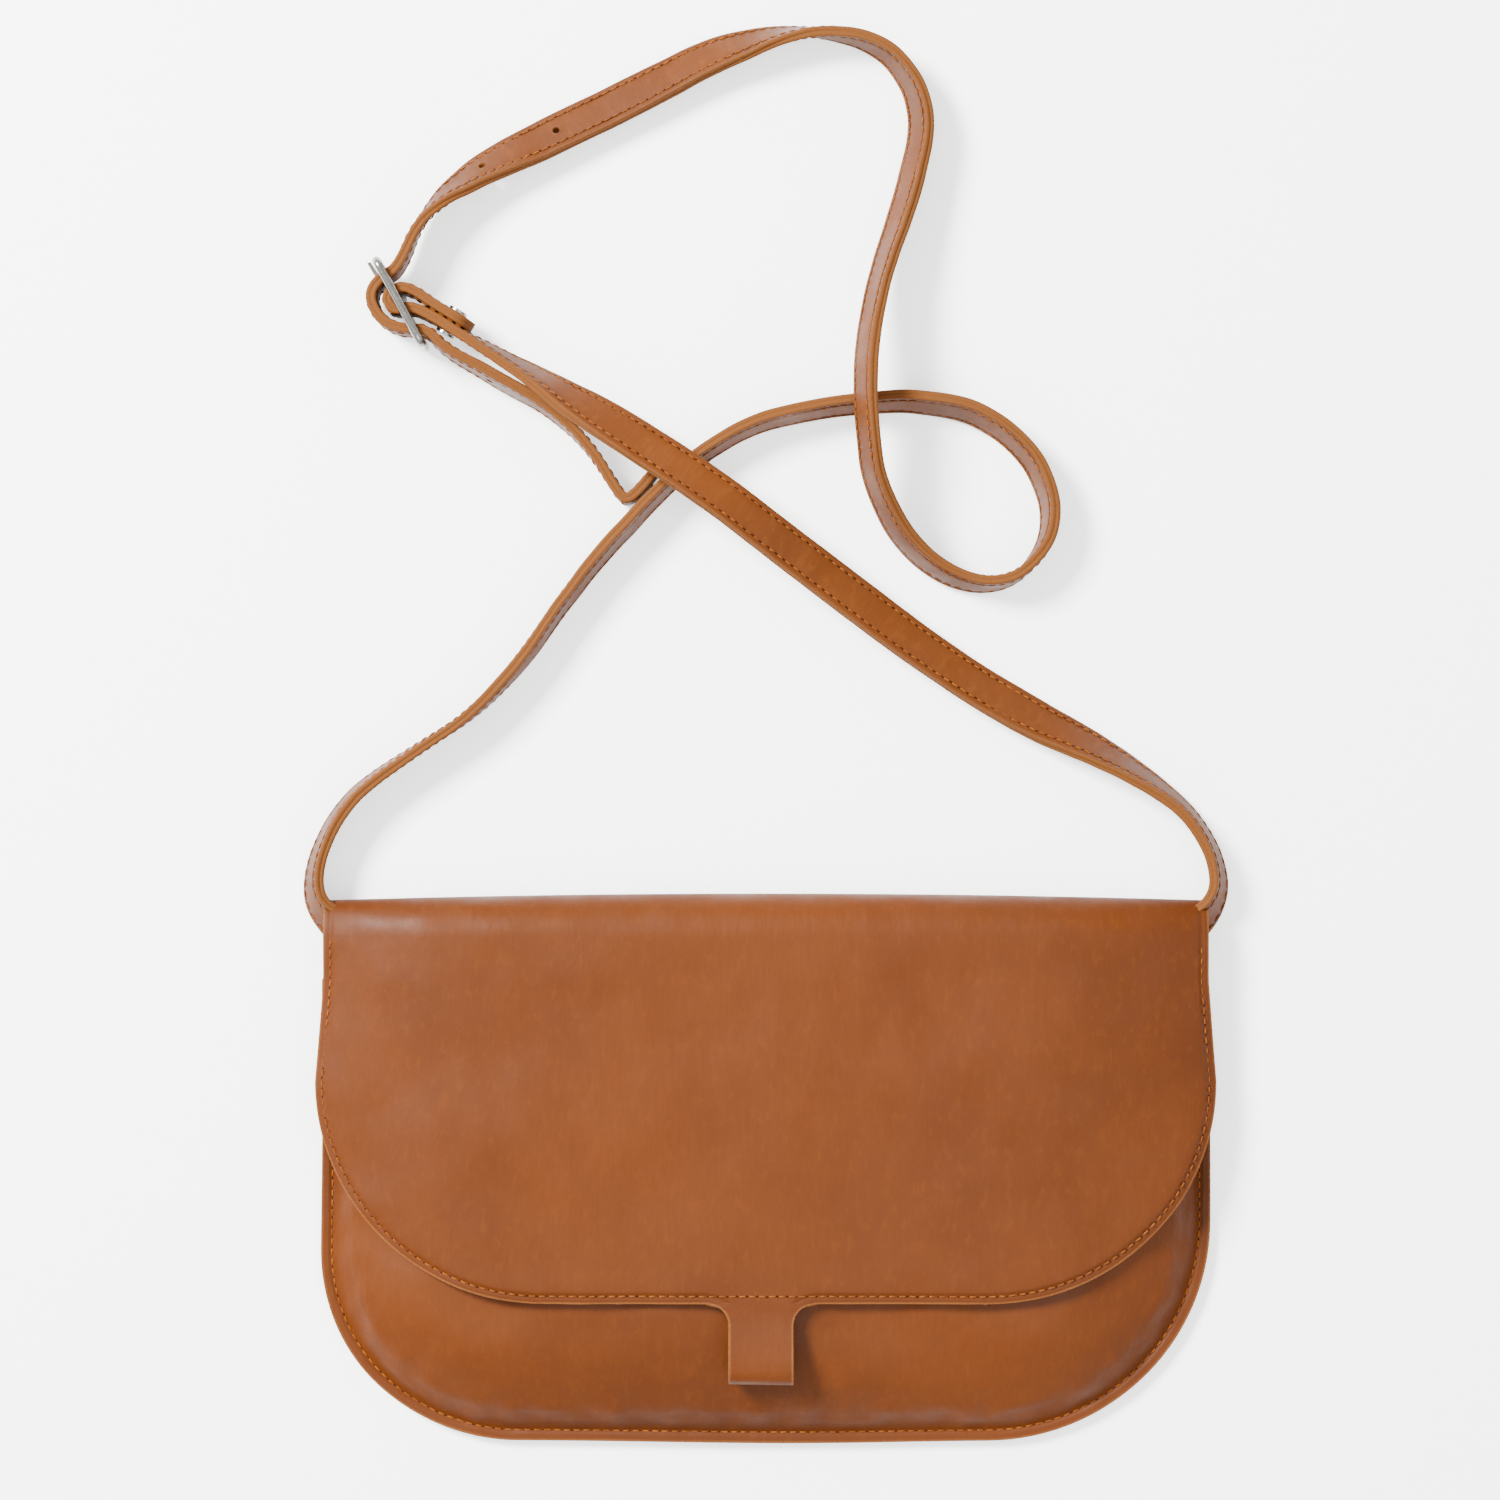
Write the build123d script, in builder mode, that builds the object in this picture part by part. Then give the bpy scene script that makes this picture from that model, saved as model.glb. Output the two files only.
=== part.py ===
"""Flat leather crossbody purse: a two-panel pouch under a full-width flap, with a buckled shoulder strap.

The purse lies on its back. +X is right, +Y runs towards the strap, +Z is up from the table.
The origin is under the middle of the pouch, on the table.
"""

import os
from math import radians, sqrt, tan

from build123d import *

# ---------------------------------------------------------------- driving dimensions (mm)
LEATHER = 1.8  # outer hide
LINING = 0.8  # glued suede lining

HALF_WIDTH = 136.0  # pouch, to the raw edge of the side seam
BOTTOM_Y = -83.5
CORNER_RADIUS = 64.0
MOUTH_Y = 58.0  # top edge of the front panel, hidden under the flap
SEAM_INSET = 3.2  # stitch line, in from the raw edge
FLANGE = 5.0  # flat rim where both panels are stitched together
LINING_MARGIN = 8.0  # the back lining stops short of the perimeter seam
INSIDE_TAPER = 0.6  # inner faces of the pillowed front move in by this share of their depth
THREAD_RADIUS = 0.25
THREAD_LIFT = 0.3  # height of the seam thread's centre above the hide
SPARE = 5.0  # how far a cutting shape reaches past what it cuts

# Distance in from the raw edge, and the height of the front panel's outer face there
FRONT_PROFILE = [(0.0, 3.6), (FLANGE, 4.2), (11.0, 9.2), (20.0, 13.4), (31.0, 16.2), (43.0, 17.6)]

FOLD_Y = 72.0  # the hide leaves the table here and turns over
FOLD_RADIUS = 11.5
FOLD_HALF = 134.5
HINGE_ANGLE = 45.0  # where round the fold the flap starts to move
HINGE_GAP = 0.3

FLAP_TOP = 22.0  # outer face of the closed flap over the front
FLAP_BOTTOM_Y = -38.0
FLAP_HALF = 136.3
FLAP_CORNER = (70.0, 66.0)  # half axes of the elliptical flap corners
FLAP_LOW = 9.0  # all of the closed flap lies above this height
FLAP_LEVEL_Y = -5.0  # the flap is level in front of this line and rises behind it
COVER_REACH = 140.0  # half width and front end of the block that the flap is cut from
COVER_FRONT_Y = -68.0
ROOF_TOP = 23.2  # highest line of the flap, across its middle
ROOF_FLAT = 78.0  # half width of the level middle
ROOF_RADIUS = 170.0  # its sides droop along this arc

TAB_X = -1.5
TAB_WIDTH = 19.2
TAB_NOSE = (-58.6, 19.4)  # centre of the folded nose of the pull loop, in Y and Z
TAB_NOSE_RADIUS = 3.8
TAB_ROOT = (-42.0, 20.1)  # centre where its two layers come together
TAB_ROOT_RADIUS = 1.9
TAB_FILLET = 6.5
TAB_OVERLAP = 10.0  # both layers of the loop run this far into the flap
TAIL_END_Y = -33.0  # the returned layer is caught behind the flap's edge up to here

SNAP_Y = -20.0
SNAP_RADIUS = 7.0
SNAP_BORE = 3.2
SNAP_STUD = 2.8
SLEEVE_RADIUS = 4.0
SNAP_FLANGE = 0.8
PLUG_FLANGE = 0.7
STUD_LENGTH = 2.8
SOCKET_CHAMFER = 0.25
STUD_CHAMFER = 0.5
WASHER = 0.6

STRAP_WIDTH = 13.0
STRAP_PLY = 1.5  # two plies, glued and stitched
STRAP_Z = STRAP_WIDTH / 2 + 0.3  # centre height where the strap stands on its edge
CROSSING_Z = STRAP_Z + STRAP_WIDTH + 3.0  # where it rides over another strand
BUCKLE_Z = 9.7  # where it runs between the buckle's rails
EXIT = (137.6, 66.0)  # where each strap leaves the purse, left and right
STRAP_END = 26.0  # length sewn to the lining inside
STRAP_END_Y = 65.5
STRAP_END_ROUND = 4.0
SEWN_X = 117.0  # middle of the stitches that hold it
SEWN_PITCH = (8.0, 3.2)  # between their columns and rows
SEWN_STITCH = (0.6, 2.2, 0.4)

WIRE = 1.3  # radius of the buckle's frame
BAR = 1.2  # radius of its centre bar
BUCKLE_FRONT = Vector(-117.3, 275.4)  # front bar of the buckle, in plan
BUCKLE_TURN = -61.5  # direction in plan from its front bar to its back bar, in degrees
BUCKLE_LENGTH = 28.3
CENTRE_BAR = 12.8  # from the front bar to the centre bar
RAIL_GAP = 14.0  # clear height between the rails
TONGUE = 1.8  # thickness of the tongue
TONGUE_RING = 2.5  # outer radius of its eye round the centre bar
TONGUE_ROOT = -0.8  # the shank's flank at its eye, across the buckle
TONGUE_TIP = ((-1.4, -1.9), (-1.6, -3.0))  # along and across the buckle
TONGUE_CLEAR = 0.3
BAR_CLEAR = 0.05
FRAME_ROUND = 2.5  # corner radius of the buckle's frame
SLOT_ROOT = (-0.4, -4.6)  # room for the tongue through both straps: flanks at its eye
SLOT_TIP = (2.5, -0.9, -5.8)  # along, then both flanks, at its end
RIVET = 1.2
RIVET_HEAD = 3.0
RIVET_HEAD_THICK = 0.8
RIVET_PLACE = (26.2, 10.92)  # along and across the buckle, midway between the two strands
RIVET_AIM = (-0.516, 0.857)
RIVET_STACK = STRAP_PLY + 2.0  # from there to the outer face of either strand
HOLE = 1.0  # radius of the strap's punched holes
HOLE_PITCH = 25.0
USED_HOLE = (5.8, -3.0)  # along and across the buckle, where the tongue is through
HOLE_STEPS = (-3, -2, -1, 1, 2)  # the other holes, in pitches from the used one

os.makedirs("parts", exist_ok=True)


def finish(piece, name):
    """Label a finished piece and write its STEP file."""
    piece.label = name
    export_step(piece, f"parts/{name}.step")


# ---------------------------------------------------------------- shared shapes
def pouch_outline(inset, top_y):
    """The pouch seen from above: square at the mouth, round at the two bottom corners."""
    low = BOTTOM_Y + inset
    with BuildSketch() as outline:
        with Locations((0, (top_y + low) / 2)):
            Rectangle(2 * (HALF_WIDTH - inset), top_y - low)
        fillet(outline.vertices().group_by(Axis.Y)[0], CORNER_RADIUS - inset)
    return outline.sketch


def mound(depth, top_y):
    """The pillowed front, taken in by depth below its outer face."""
    taper = INSIDE_TAPER * depth
    foot = FLANGE + taper if depth else 0.0
    rings = [(inset + taper, height - depth) for inset, height in FRONT_PROFILE]
    rings = [(foot, LEATHER)] + [ring for ring in rings if ring[1] > LEATHER]
    with BuildPart() as pillow:
        for inset, height in rings:
            with BuildSketch(Plane.XY.offset(height)):
                add(pouch_outline(inset, top_y))
        loft(ruled=True)
    return pillow.part


def roof_height(x, depth):
    """Height of the flap across its width, depth below its outer face."""
    run = max(0.0, x - ROOF_FLAT)
    return ROOF_TOP - ROOF_RADIUS + sqrt((ROOF_RADIUS - depth) ** 2 - run**2)


def cover(depth):
    """The space under the fold and the flap, depth below the hide's outer face."""
    half_way = (COVER_REACH + ROOF_FLAT) / 2
    radius = FOLD_RADIUS - depth
    with BuildPart() as space:
        with BuildSketch(Plane.YZ):
            with BuildLine():
                Polyline(
                    (FOLD_Y, depth), (COVER_FRONT_Y, depth), (COVER_FRONT_Y, FLAP_TOP - depth),
                    (FLAP_LEVEL_Y, FLAP_TOP - depth), (FOLD_Y, 2 * FOLD_RADIUS - depth),
                )
                CenterArc((FOLD_Y, FOLD_RADIUS), radius, 90, -180)
            make_face()
        extrude(amount=COVER_REACH, both=True)
        with BuildSketch(Plane.XZ):
            with BuildLine():
                Polyline((0, -1), (COVER_REACH, -1), (COVER_REACH, roof_height(COVER_REACH, depth)))
                ThreePointArc(
                    (COVER_REACH, roof_height(COVER_REACH, depth)),
                    (half_way, roof_height(half_way, depth)),
                    (ROOF_FLAT, roof_height(0, depth)),
                )
                Line((ROOF_FLAT, roof_height(0, depth)), (0, roof_height(0, depth)))
                mirror(about=Plane.YZ)
            make_face()
        extrude(amount=2 * HALF_WIDTH, both=True, mode=Mode.INTERSECT)
    return space.part


def flap_outline():
    """The flap seen from above, without its pull loop."""
    half_x, half_y = FLAP_CORNER
    corner = (FLAP_HALF - half_x, FLAP_BOTTOM_Y + half_y)
    top = FOLD_Y + 2 * FOLD_RADIUS
    with BuildSketch() as outline:
        with BuildLine():
            Polyline((0, top), (FOLD_HALF, top), (FOLD_HALF, MOUTH_Y), (FLAP_HALF, corner[1]))
            Spline(
                (FLAP_HALF, corner[1]),
                (corner[0] + half_x * sqrt(0.5), corner[1] - half_y * sqrt(0.5)),
                (corner[0], FLAP_BOTTOM_Y),
                tangents=((0, -1), (-1, 0)),
            )
            Line((corner[0], FLAP_BOTTOM_Y), (0, FLAP_BOTTOM_Y))
            mirror(about=Plane.YZ)
        make_face()
    return outline.sketch


outer_cover = cover(0)
hide_cover = cover(LEATHER)
lining_cover = cover(LEATHER + LINING)

turn = Vector(0, 1, 0).rotate(Axis.X, HINGE_ANGLE)
HINGE = Vector(0, FOLD_Y, FOLD_RADIUS) + turn * FOLD_RADIUS
hinge_plane = Plane(origin=HINGE, x_dir=(1, 0, 0), z_dir=turn.rotate(Axis.X, 90))
print(f"flap hinge at y {HINGE.Y:.2f}, z {HINGE.Z:.2f}")

# ---------------------------------------------------------------- pouch
def fold(outer, inner):
    """The part of the turned-over hide that stays with the back panel."""
    with BuildPart() as strip:
        add(outer)
        add(inner, mode=Mode.SUBTRACT)
        with BuildSketch():
            with Locations((0, FOLD_Y)):
                Rectangle(2 * FOLD_HALF, 2 * FOLD_RADIUS + SPARE, align=(Align.CENTER, Align.MIN))
        extrude(amount=ROOF_TOP + SPARE, mode=Mode.INTERSECT)
        split(bisect_by=hinge_plane, keep=Keep.BOTTOM)
    return strip.part


back_fold = fold(outer_cover, hide_cover)
lining_fold = fold(hide_cover, lining_cover)

with BuildPart() as back_panel:
    with BuildSketch():
        add(pouch_outline(0, FOLD_Y))
    extrude(amount=LEATHER)
    add(back_fold)
finish(back_panel.part, "back_panel")

with BuildPart() as back_lining:
    with BuildSketch(Plane.XY.offset(LEATHER)):
        add(pouch_outline(LINING_MARGIN, FOLD_Y))
    extrude(amount=LINING)
    add(lining_fold)
finish(back_lining.part, "back_lining")

hide_mound = mound(LEATHER, MOUTH_Y + SPARE)
lining_mound = mound(LEATHER + LINING, MOUTH_Y + 2 * SPARE)
front_top = FRONT_PROFILE[-1][1]

with BuildPart() as front_panel:
    add(mound(0, MOUTH_Y))
    add(hide_mound, mode=Mode.SUBTRACT)
    with Locations((TAB_X, SNAP_Y, front_top)):
        Hole(SLEEVE_RADIUS, depth=LEATHER)
finish(front_panel.part, "front_panel")

with BuildPart() as front_lining:
    add(mound(LEATHER, MOUTH_Y))
    add(lining_mound, mode=Mode.SUBTRACT)
    with Locations((TAB_X, SNAP_Y, front_top - LEATHER)):
        Hole(SLEEVE_RADIUS, depth=LINING)
finish(front_lining.part, "front_lining")

with BuildPart() as pouch_seam_thread:
    low = BOTTOM_Y + SEAM_INSET
    side = HALF_WIDTH - SEAM_INSET
    height = FRONT_PROFILE[0][1] + (FRONT_PROFILE[1][1] - FRONT_PROFILE[0][1]) * SEAM_INSET / FLANGE
    with BuildLine(Plane.XY.offset(height + THREAD_LIFT)) as seam:
        FilletPolyline(
            (-side, MOUTH_Y - 1), (-side, low), (side, low), (side, MOUTH_Y - 1),
            radius=CORNER_RADIUS - SEAM_INSET,
        )
    with BuildSketch(Plane(origin=seam.line @ 0, z_dir=seam.line % 0)):
        Circle(THREAD_RADIUS)
    sweep()
finish(pouch_seam_thread.part, "pouch_seam_thread")

# ---------------------------------------------------------------- magnetic snap, socket side
socket_low = front_top - LEATHER - LINING - WASHER
with BuildPart() as snap_socket:
    with BuildSketch(Plane.XY.offset(front_top)):
        with Locations((TAB_X, SNAP_Y)):
            Circle(SNAP_RADIUS)
    extrude(amount=SNAP_FLANGE)
    with BuildSketch(Plane.XY.offset(socket_low)):
        with Locations((TAB_X, SNAP_Y)):
            Circle(SLEEVE_RADIUS)
    extrude(amount=front_top - socket_low)
    with Locations((TAB_X, SNAP_Y, front_top + SNAP_FLANGE)):
        Hole(SNAP_BORE, depth=SNAP_FLANGE + LEATHER)
    chamfer(snap_socket.edges().filter_by(GeomType.CIRCLE).group_by(Axis.Z)[-1], SOCKET_CHAMFER)
finish(snap_socket.part, "snap_socket")

with BuildPart() as socket_washer:
    with BuildSketch(Plane.XY.offset(socket_low)):
        with Locations((TAB_X, SNAP_Y)):
            Circle(SNAP_RADIUS)
            Circle(SLEEVE_RADIUS, mode=Mode.SUBTRACT)
    extrude(amount=WASHER)
finish(socket_washer.part, "socket_washer")

# ---------------------------------------------------------------- flap
with BuildPart() as flap_outer:
    add(outer_cover)
    add(hide_cover, mode=Mode.SUBTRACT)
    with BuildSketch(Plane.XY.offset(FLAP_LOW)):
        add(flap_outline())
        with Locations((TAB_X, TAB_ROOT[0])):
            Rectangle(TAB_WIDTH, TAB_OVERLAP, align=(Align.CENTER, Align.MIN))
        with Locations((TAB_X, FLAP_BOTTOM_Y)):
            Rectangle(TAB_WIDTH + 2 * TAB_FILLET, TAB_FILLET, align=(Align.CENTER, Align.MAX))
        with Locations((TAB_X, FLAP_BOTTOM_Y - TAB_FILLET)):
            with GridLocations(TAB_WIDTH + 2 * TAB_FILLET, 0, 2, 1):
                Circle(TAB_FILLET, mode=Mode.SUBTRACT)
    extrude(amount=ROOF_TOP + SPARE, mode=Mode.INTERSECT)
    split(bisect_by=hinge_plane.offset(HINGE_GAP), keep=Keep.TOP)
    with BuildSketch(Plane.YZ.offset(TAB_X)):
        with Locations(TAB_NOSE):
            Circle(TAB_NOSE_RADIUS)
        with Locations(TAB_ROOT):
            Circle(TAB_ROOT_RADIUS)
        make_hull()
        with Locations((TAIL_END_Y, FLAP_TOP - LEATHER)):
            Rectangle(TAIL_END_Y - TAB_ROOT[0], LEATHER, align=(Align.MAX, Align.MAX))
    extrude(amount=TAB_WIDTH / 2, both=True)
    with BuildSketch(Plane.YZ.offset(TAB_X)):
        with Locations(TAB_NOSE):
            Circle(TAB_NOSE_RADIUS - LEATHER)
        with Locations(TAB_ROOT):
            Circle(TAB_ROOT_RADIUS - LEATHER)
        make_hull()
    extrude(amount=TAB_WIDTH / 2, both=True, mode=Mode.SUBTRACT)
finish(flap_outer.part, "flap_outer")

with BuildPart() as flap_lining:
    add(hide_cover)
    add(lining_cover, mode=Mode.SUBTRACT)
    with BuildSketch(Plane.XY.offset(FLAP_LOW)):
        add(flap_outline())
        with Locations((TAB_X, TAIL_END_Y)):
            Rectangle(TAB_WIDTH, TAB_OVERLAP, align=(Align.CENTER, Align.MAX), mode=Mode.SUBTRACT)
    extrude(amount=ROOF_TOP + SPARE, mode=Mode.INTERSECT)
    split(bisect_by=hinge_plane.offset(HINGE_GAP), keep=Keep.TOP)
    with Locations((TAB_X, SNAP_Y, FLAP_TOP - LEATHER)):
        Hole(SNAP_RADIUS - 1, depth=LINING)
finish(flap_lining.part, "flap_lining")

flap_under = FLAP_TOP - LEATHER - LINING
with BuildPart() as snap_plug:
    with BuildSketch(Plane.XY.offset(flap_under)):
        with Locations((TAB_X, SNAP_Y)):
            Circle(SNAP_RADIUS)
    extrude(amount=-PLUG_FLANGE)
    with BuildSketch(Plane.XY.offset(flap_under)):
        with Locations((TAB_X, SNAP_Y)):
            Circle(SNAP_STUD)
    extrude(amount=-STUD_LENGTH)
    chamfer(snap_plug.edges().filter_by(GeomType.CIRCLE).group_by(Axis.Z)[0], STUD_CHAMFER)
finish(snap_plug.part, "snap_plug")

with BuildPart() as plug_washer:
    with BuildSketch(Plane.XY.offset(flap_under)):
        with Locations((TAB_X, SNAP_Y)):
            Circle(SNAP_RADIUS - 1)
    extrude(amount=LINING)
finish(plug_washer.part, "plug_washer")

# ---------------------------------------------------------------- strap ends sewn in at the corners
for name, sign in (("left_strap_end", -1), ("right_strap_end", 1)):
    with BuildPart() as strap_end:
        outside = EXIT[0] - STRAP_PLY
        with BuildSketch(Plane.XY.offset(LEATHER + LINING)):
            with Locations((sign * outside, STRAP_END_Y)):
                Rectangle(STRAP_END, STRAP_WIDTH, align=(Align.MAX if sign > 0 else Align.MIN, Align.CENTER))
        extrude(amount=2 * STRAP_PLY)
        fillet(strap_end.edges().filter_by(Axis.Z).sort_by(lambda e: abs(e.center().X))[0:2], STRAP_END_ROUND)
    finish(strap_end.part, name)

with BuildPart() as strap_end_stitches:
    stitch_plane = Plane.XY.offset(LEATHER + LINING + 2 * STRAP_PLY)
    with BuildSketch(stitch_plane):
        with Locations((-SEWN_X, STRAP_END_Y), (SEWN_X, STRAP_END_Y)):
            with GridLocations(SEWN_PITCH[0] / 2, SEWN_PITCH[1], 3, 3):
                Rectangle(SEWN_STITCH[0], SEWN_STITCH[1])
    extrude(amount=SEWN_STITCH[2])
finish(strap_end_stitches.part, "strap_end_stitches")


# ---------------------------------------------------------------- strap routes
forward = Vector(1, 0, 0).rotate(Axis.Z, BUCKLE_TURN)
rightward = forward.rotate(Axis.Z, 90)
buckle_plan = Plane(origin=(BUCKLE_FRONT.X, BUCKLE_FRONT.Y, BUCKLE_Z), x_dir=forward, z_dir=(0, 0, 1))


def beside_buckle(along, across):
    """A point in the buckle's own plan: along its length from the front bar, and across to its right."""
    place = buckle_plan.from_local_coords((along, across, 0))
    return (place.X, place.Y, place.Z)


LONG_ROUTE = [
    (-EXIT[0], EXIT[1], STRAP_Z),
    (-138.2, 80.0, STRAP_Z),
    (-137.0, 96.0, STRAP_Z),
    (-126.0, 114.5, STRAP_Z),
    (-107.0, 127.5, STRAP_Z),
    (-88.0, 139.5, STRAP_Z),
    (-73.0, 156.0, STRAP_Z),
    (-59.0, 176.5, STRAP_Z),
    (-42.0, 196.5, STRAP_Z),
    (-23.0, 215.5, STRAP_Z),
    (-4.0, 227.5, STRAP_Z),
    (20.0, 232.5, STRAP_Z),
    (47.0, 234.5, STRAP_Z),
    (68.0, 229.5, STRAP_Z),
    (84.5, 213.0, STRAP_Z),
    (87.5, 193.5, STRAP_Z),
    (75.5, 178.0, STRAP_Z),
    (56.5, 179.0, STRAP_Z),
    (41.0, 192.0, STRAP_Z + 4),
    (32.5, 209.0, STRAP_Z + 12),
    (30.2, 224.5, CROSSING_Z),
    (29.6, 245.0, CROSSING_Z),
    (33.5, 269.0, STRAP_Z + 6),
    (43.0, 296.0, STRAP_Z),
    (49.0, 322.0, STRAP_Z),
    (38.0, 341.5, STRAP_Z),
    (15.0, 347.5, STRAP_Z),
    (-12.0, 341.5, STRAP_Z),
    (-40.0, 327.0, STRAP_Z),
    (-68.0, 313.5, STRAP_Z),
    (-92.0, 301.5, STRAP_Z + 1),
    (-105.5, 288.0, BUCKLE_Z),
    beside_buckle(4.6, 5.2),
    beside_buckle(4.9, -1.8),
    beside_buckle(8.0, -7.2),
    beside_buckle(15.0, -7.8),
    beside_buckle(21.2, -4.0),
    beside_buckle(25.0, 3.8),
    beside_buckle(32.8, 5.2),
    (-81.5, 240.5, STRAP_Z + 1),
    (-66.0, 232.0, STRAP_Z),
    (-54.5, 221.5, STRAP_Z),
    (-47.0, 210.0, STRAP_Z),
    (-42.8, 203.4, STRAP_Z),
    (-40.0, 205.0, STRAP_Z),
    (-36.2, 209.2, STRAP_Z),
    (-32.6, 213.5, STRAP_Z),
]

SHORT_ROUTE = [
    (EXIT[0], EXIT[1], STRAP_Z),
    (138.4, 80.0, STRAP_Z),
    (137.5, 95.0, STRAP_Z),
    (126.0, 112.0, STRAP_Z),
    (104.0, 126.5, STRAP_Z),
    (77.0, 139.5, STRAP_Z),
    (51.0, 156.0, STRAP_Z),
    (26.0, 174.5, STRAP_Z + 4),
    (4.0, 191.0, STRAP_Z + 11),
    (-12.5, 203.8, CROSSING_Z),
    (-33.5, 218.0, CROSSING_Z),
    (-52.0, 229.5, STRAP_Z + 9),
    (-70.5, 241.5, BUCKLE_Z),
    beside_buckle(30.4, 11.6),
    beside_buckle(22.6, 6.9),
    beside_buckle(16.6, 2.6),
    beside_buckle(15.7, -2.9),
    beside_buckle(9.9, -2.9),
    beside_buckle(9.9, 2.9),
    beside_buckle(13.5, 6.0),
    beside_buckle(19.6, 8.9),
    beside_buckle(25.4, 12.4),
    beside_buckle(31.0, 15.6),
]


def strap_path(route, name):
    """Straight runs joined by arcs as large as their runs allow."""
    corners = [Vector(point) for point in route]
    radii = []
    for before, corner, after in zip(corners, corners[1:], corners[2:]):
        bend = (corner - before).get_angle(after - corner)
        shorter = min((corner - before).length, (after - corner).length)
        radii.append(0.45 * shorter / tan(radians(bend / 2)))
    with BuildLine() as path:
        FilletPolyline(*route, radius=radii)
    wire = path.wire()
    print(f"{name}: length {wire.length:.1f}, radii", [round(radius, 1) for radius in radii])
    return wire


def strap_ply(path, side):
    """One ply of a strap standing on its edge, on the given side of the path."""
    with BuildPart() as ply:
        with BuildSketch(Plane(origin=path @ 0, x_dir=(0, 0, 1), z_dir=path % 0)):
            with Locations((0, side * STRAP_PLY / 2)):
                Rectangle(STRAP_WIDTH, STRAP_PLY)
        sweep(path=path)
    ratio = ply.part.volume / (STRAP_WIDTH * STRAP_PLY * path.length)
    print(f"ply volume over section times length: {ratio:.4f}, valid {ply.part.is_valid}")
    return ply.part


long_path = strap_path(LONG_ROUTE, "long strap")
short_path = strap_path(SHORT_ROUTE, "short strap")

# Room that the tongue needs through the fold of the short strap and the hole of the long one
with BuildPart() as tongue_room:
    with BuildSketch(buckle_plan):
        with Locations((CENTRE_BAR, 0)):
            Circle(TONGUE_RING + TONGUE_CLEAR)
        Polygon(
            (CENTRE_BAR, SLOT_ROOT[0]), (SLOT_TIP[0], SLOT_TIP[1]),
            (SLOT_TIP[0], SLOT_TIP[2]), (CENTRE_BAR, SLOT_ROOT[1]),
            align=None,
        )
    extrude(amount=TONGUE / 2 + TONGUE_CLEAR, both=True)

# Punched holes, a pitch apart, on both sides of the one that the tongue is in
used_hole = Vector(*beside_buckle(*USED_HOLE))
used_length = min(range(int(long_path.length)), key=lambda d: (long_path.position_at(
    d, position_mode=PositionMode.LENGTH) - used_hole).length)
with BuildPart() as punched_holes:
    for step in HOLE_STEPS:
        place = used_length + step * HOLE_PITCH
        centre = long_path.position_at(place, position_mode=PositionMode.LENGTH)
        along = long_path.tangent_at(place, position_mode=PositionMode.LENGTH)
        across = along.cross(Vector(0, 0, 1))
        with BuildSketch(Plane(origin=centre, z_dir=across)):
            Circle(HOLE)
        extrude(amount=2 * STRAP_PLY, both=True)

# The rivet goes through both strands of the short strap's fold
rivet_middle = Vector(*beside_buckle(*RIVET_PLACE))
rivet_axis = Vector(*beside_buckle(*RIVET_AIM)) - Vector(*beside_buckle(0, 0))
rivet_plane = Plane(origin=rivet_middle, z_dir=rivet_axis)
with BuildPart() as rivet_hole:
    with BuildSketch(rivet_plane):
        Circle(RIVET)
    extrude(amount=RIVET_STACK + SPARE, both=True)

for path, name, cutters in (
    (long_path, "long_strap", (tongue_room.part, punched_holes.part)),
    (short_path, "short_strap", (tongue_room.part, rivet_hole.part)),
):
    for side, layer in ((1, "face"), (-1, "backing")):
        with BuildPart() as strap:
            add(strap_ply(path, side))
            for cutter in cutters:
                add(cutter, mode=Mode.SUBTRACT)
        finish(strap.part, f"{name}_{layer}")

# ---------------------------------------------------------------- buckle
half_height = RAIL_GAP / 2 + WIRE
with BuildPart() as centre_bar:
    with BuildSketch(buckle_plan):
        with Locations((CENTRE_BAR, 0)):
            Circle(BAR)
    extrude(amount=half_height, both=True)
finish(centre_bar.part, "buckle_centre_bar")

with BuildPart() as buckle_frame:
    with BuildLine(Plane(origin=buckle_plan.origin, x_dir=forward, z_dir=-rightward)) as loop:
        FilletPolyline(
            (0, 0), (0, -half_height), (BUCKLE_LENGTH, -half_height),
            (BUCKLE_LENGTH, half_height), (0, half_height), (0, 0.01),
            radius=FRAME_ROUND,
        )
    with BuildSketch(Plane(origin=loop.line @ 0, z_dir=loop.line % 0)):
        Circle(WIRE)
    sweep()
    add(centre_bar.part, mode=Mode.SUBTRACT)
finish(buckle_frame.part, "buckle_frame")

with BuildPart() as buckle_tongue:
    with BuildSketch(buckle_plan):
        with Locations((CENTRE_BAR, 0)):
            Circle(TONGUE_RING)
        Polygon(
            (CENTRE_BAR, TONGUE_ROOT), *TONGUE_TIP, (CENTRE_BAR, -TONGUE_RING),
            align=None,
        )
        with Locations((CENTRE_BAR, 0)):
            Circle(BAR + BAR_CLEAR, mode=Mode.SUBTRACT)
    extrude(amount=TONGUE / 2, both=True)
finish(buckle_tongue.part, "buckle_tongue")

# ---------------------------------------------------------------- rivet through the fold
with BuildPart() as strap_rivet:
    with BuildSketch(rivet_plane):
        Circle(RIVET)
    extrude(amount=RIVET_STACK, both=True)
    with BuildSketch(rivet_plane.offset(-RIVET_STACK)):
        Circle(RIVET_HEAD)
    extrude(amount=-RIVET_HEAD_THICK)
finish(strap_rivet.part, "strap_rivet")

with BuildPart() as rivet_cap:
    with BuildSketch(rivet_plane.offset(RIVET_STACK)):
        Circle(RIVET_HEAD)
    extrude(amount=RIVET_HEAD_THICK)
finish(rivet_cap.part, "rivet_cap")
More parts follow.
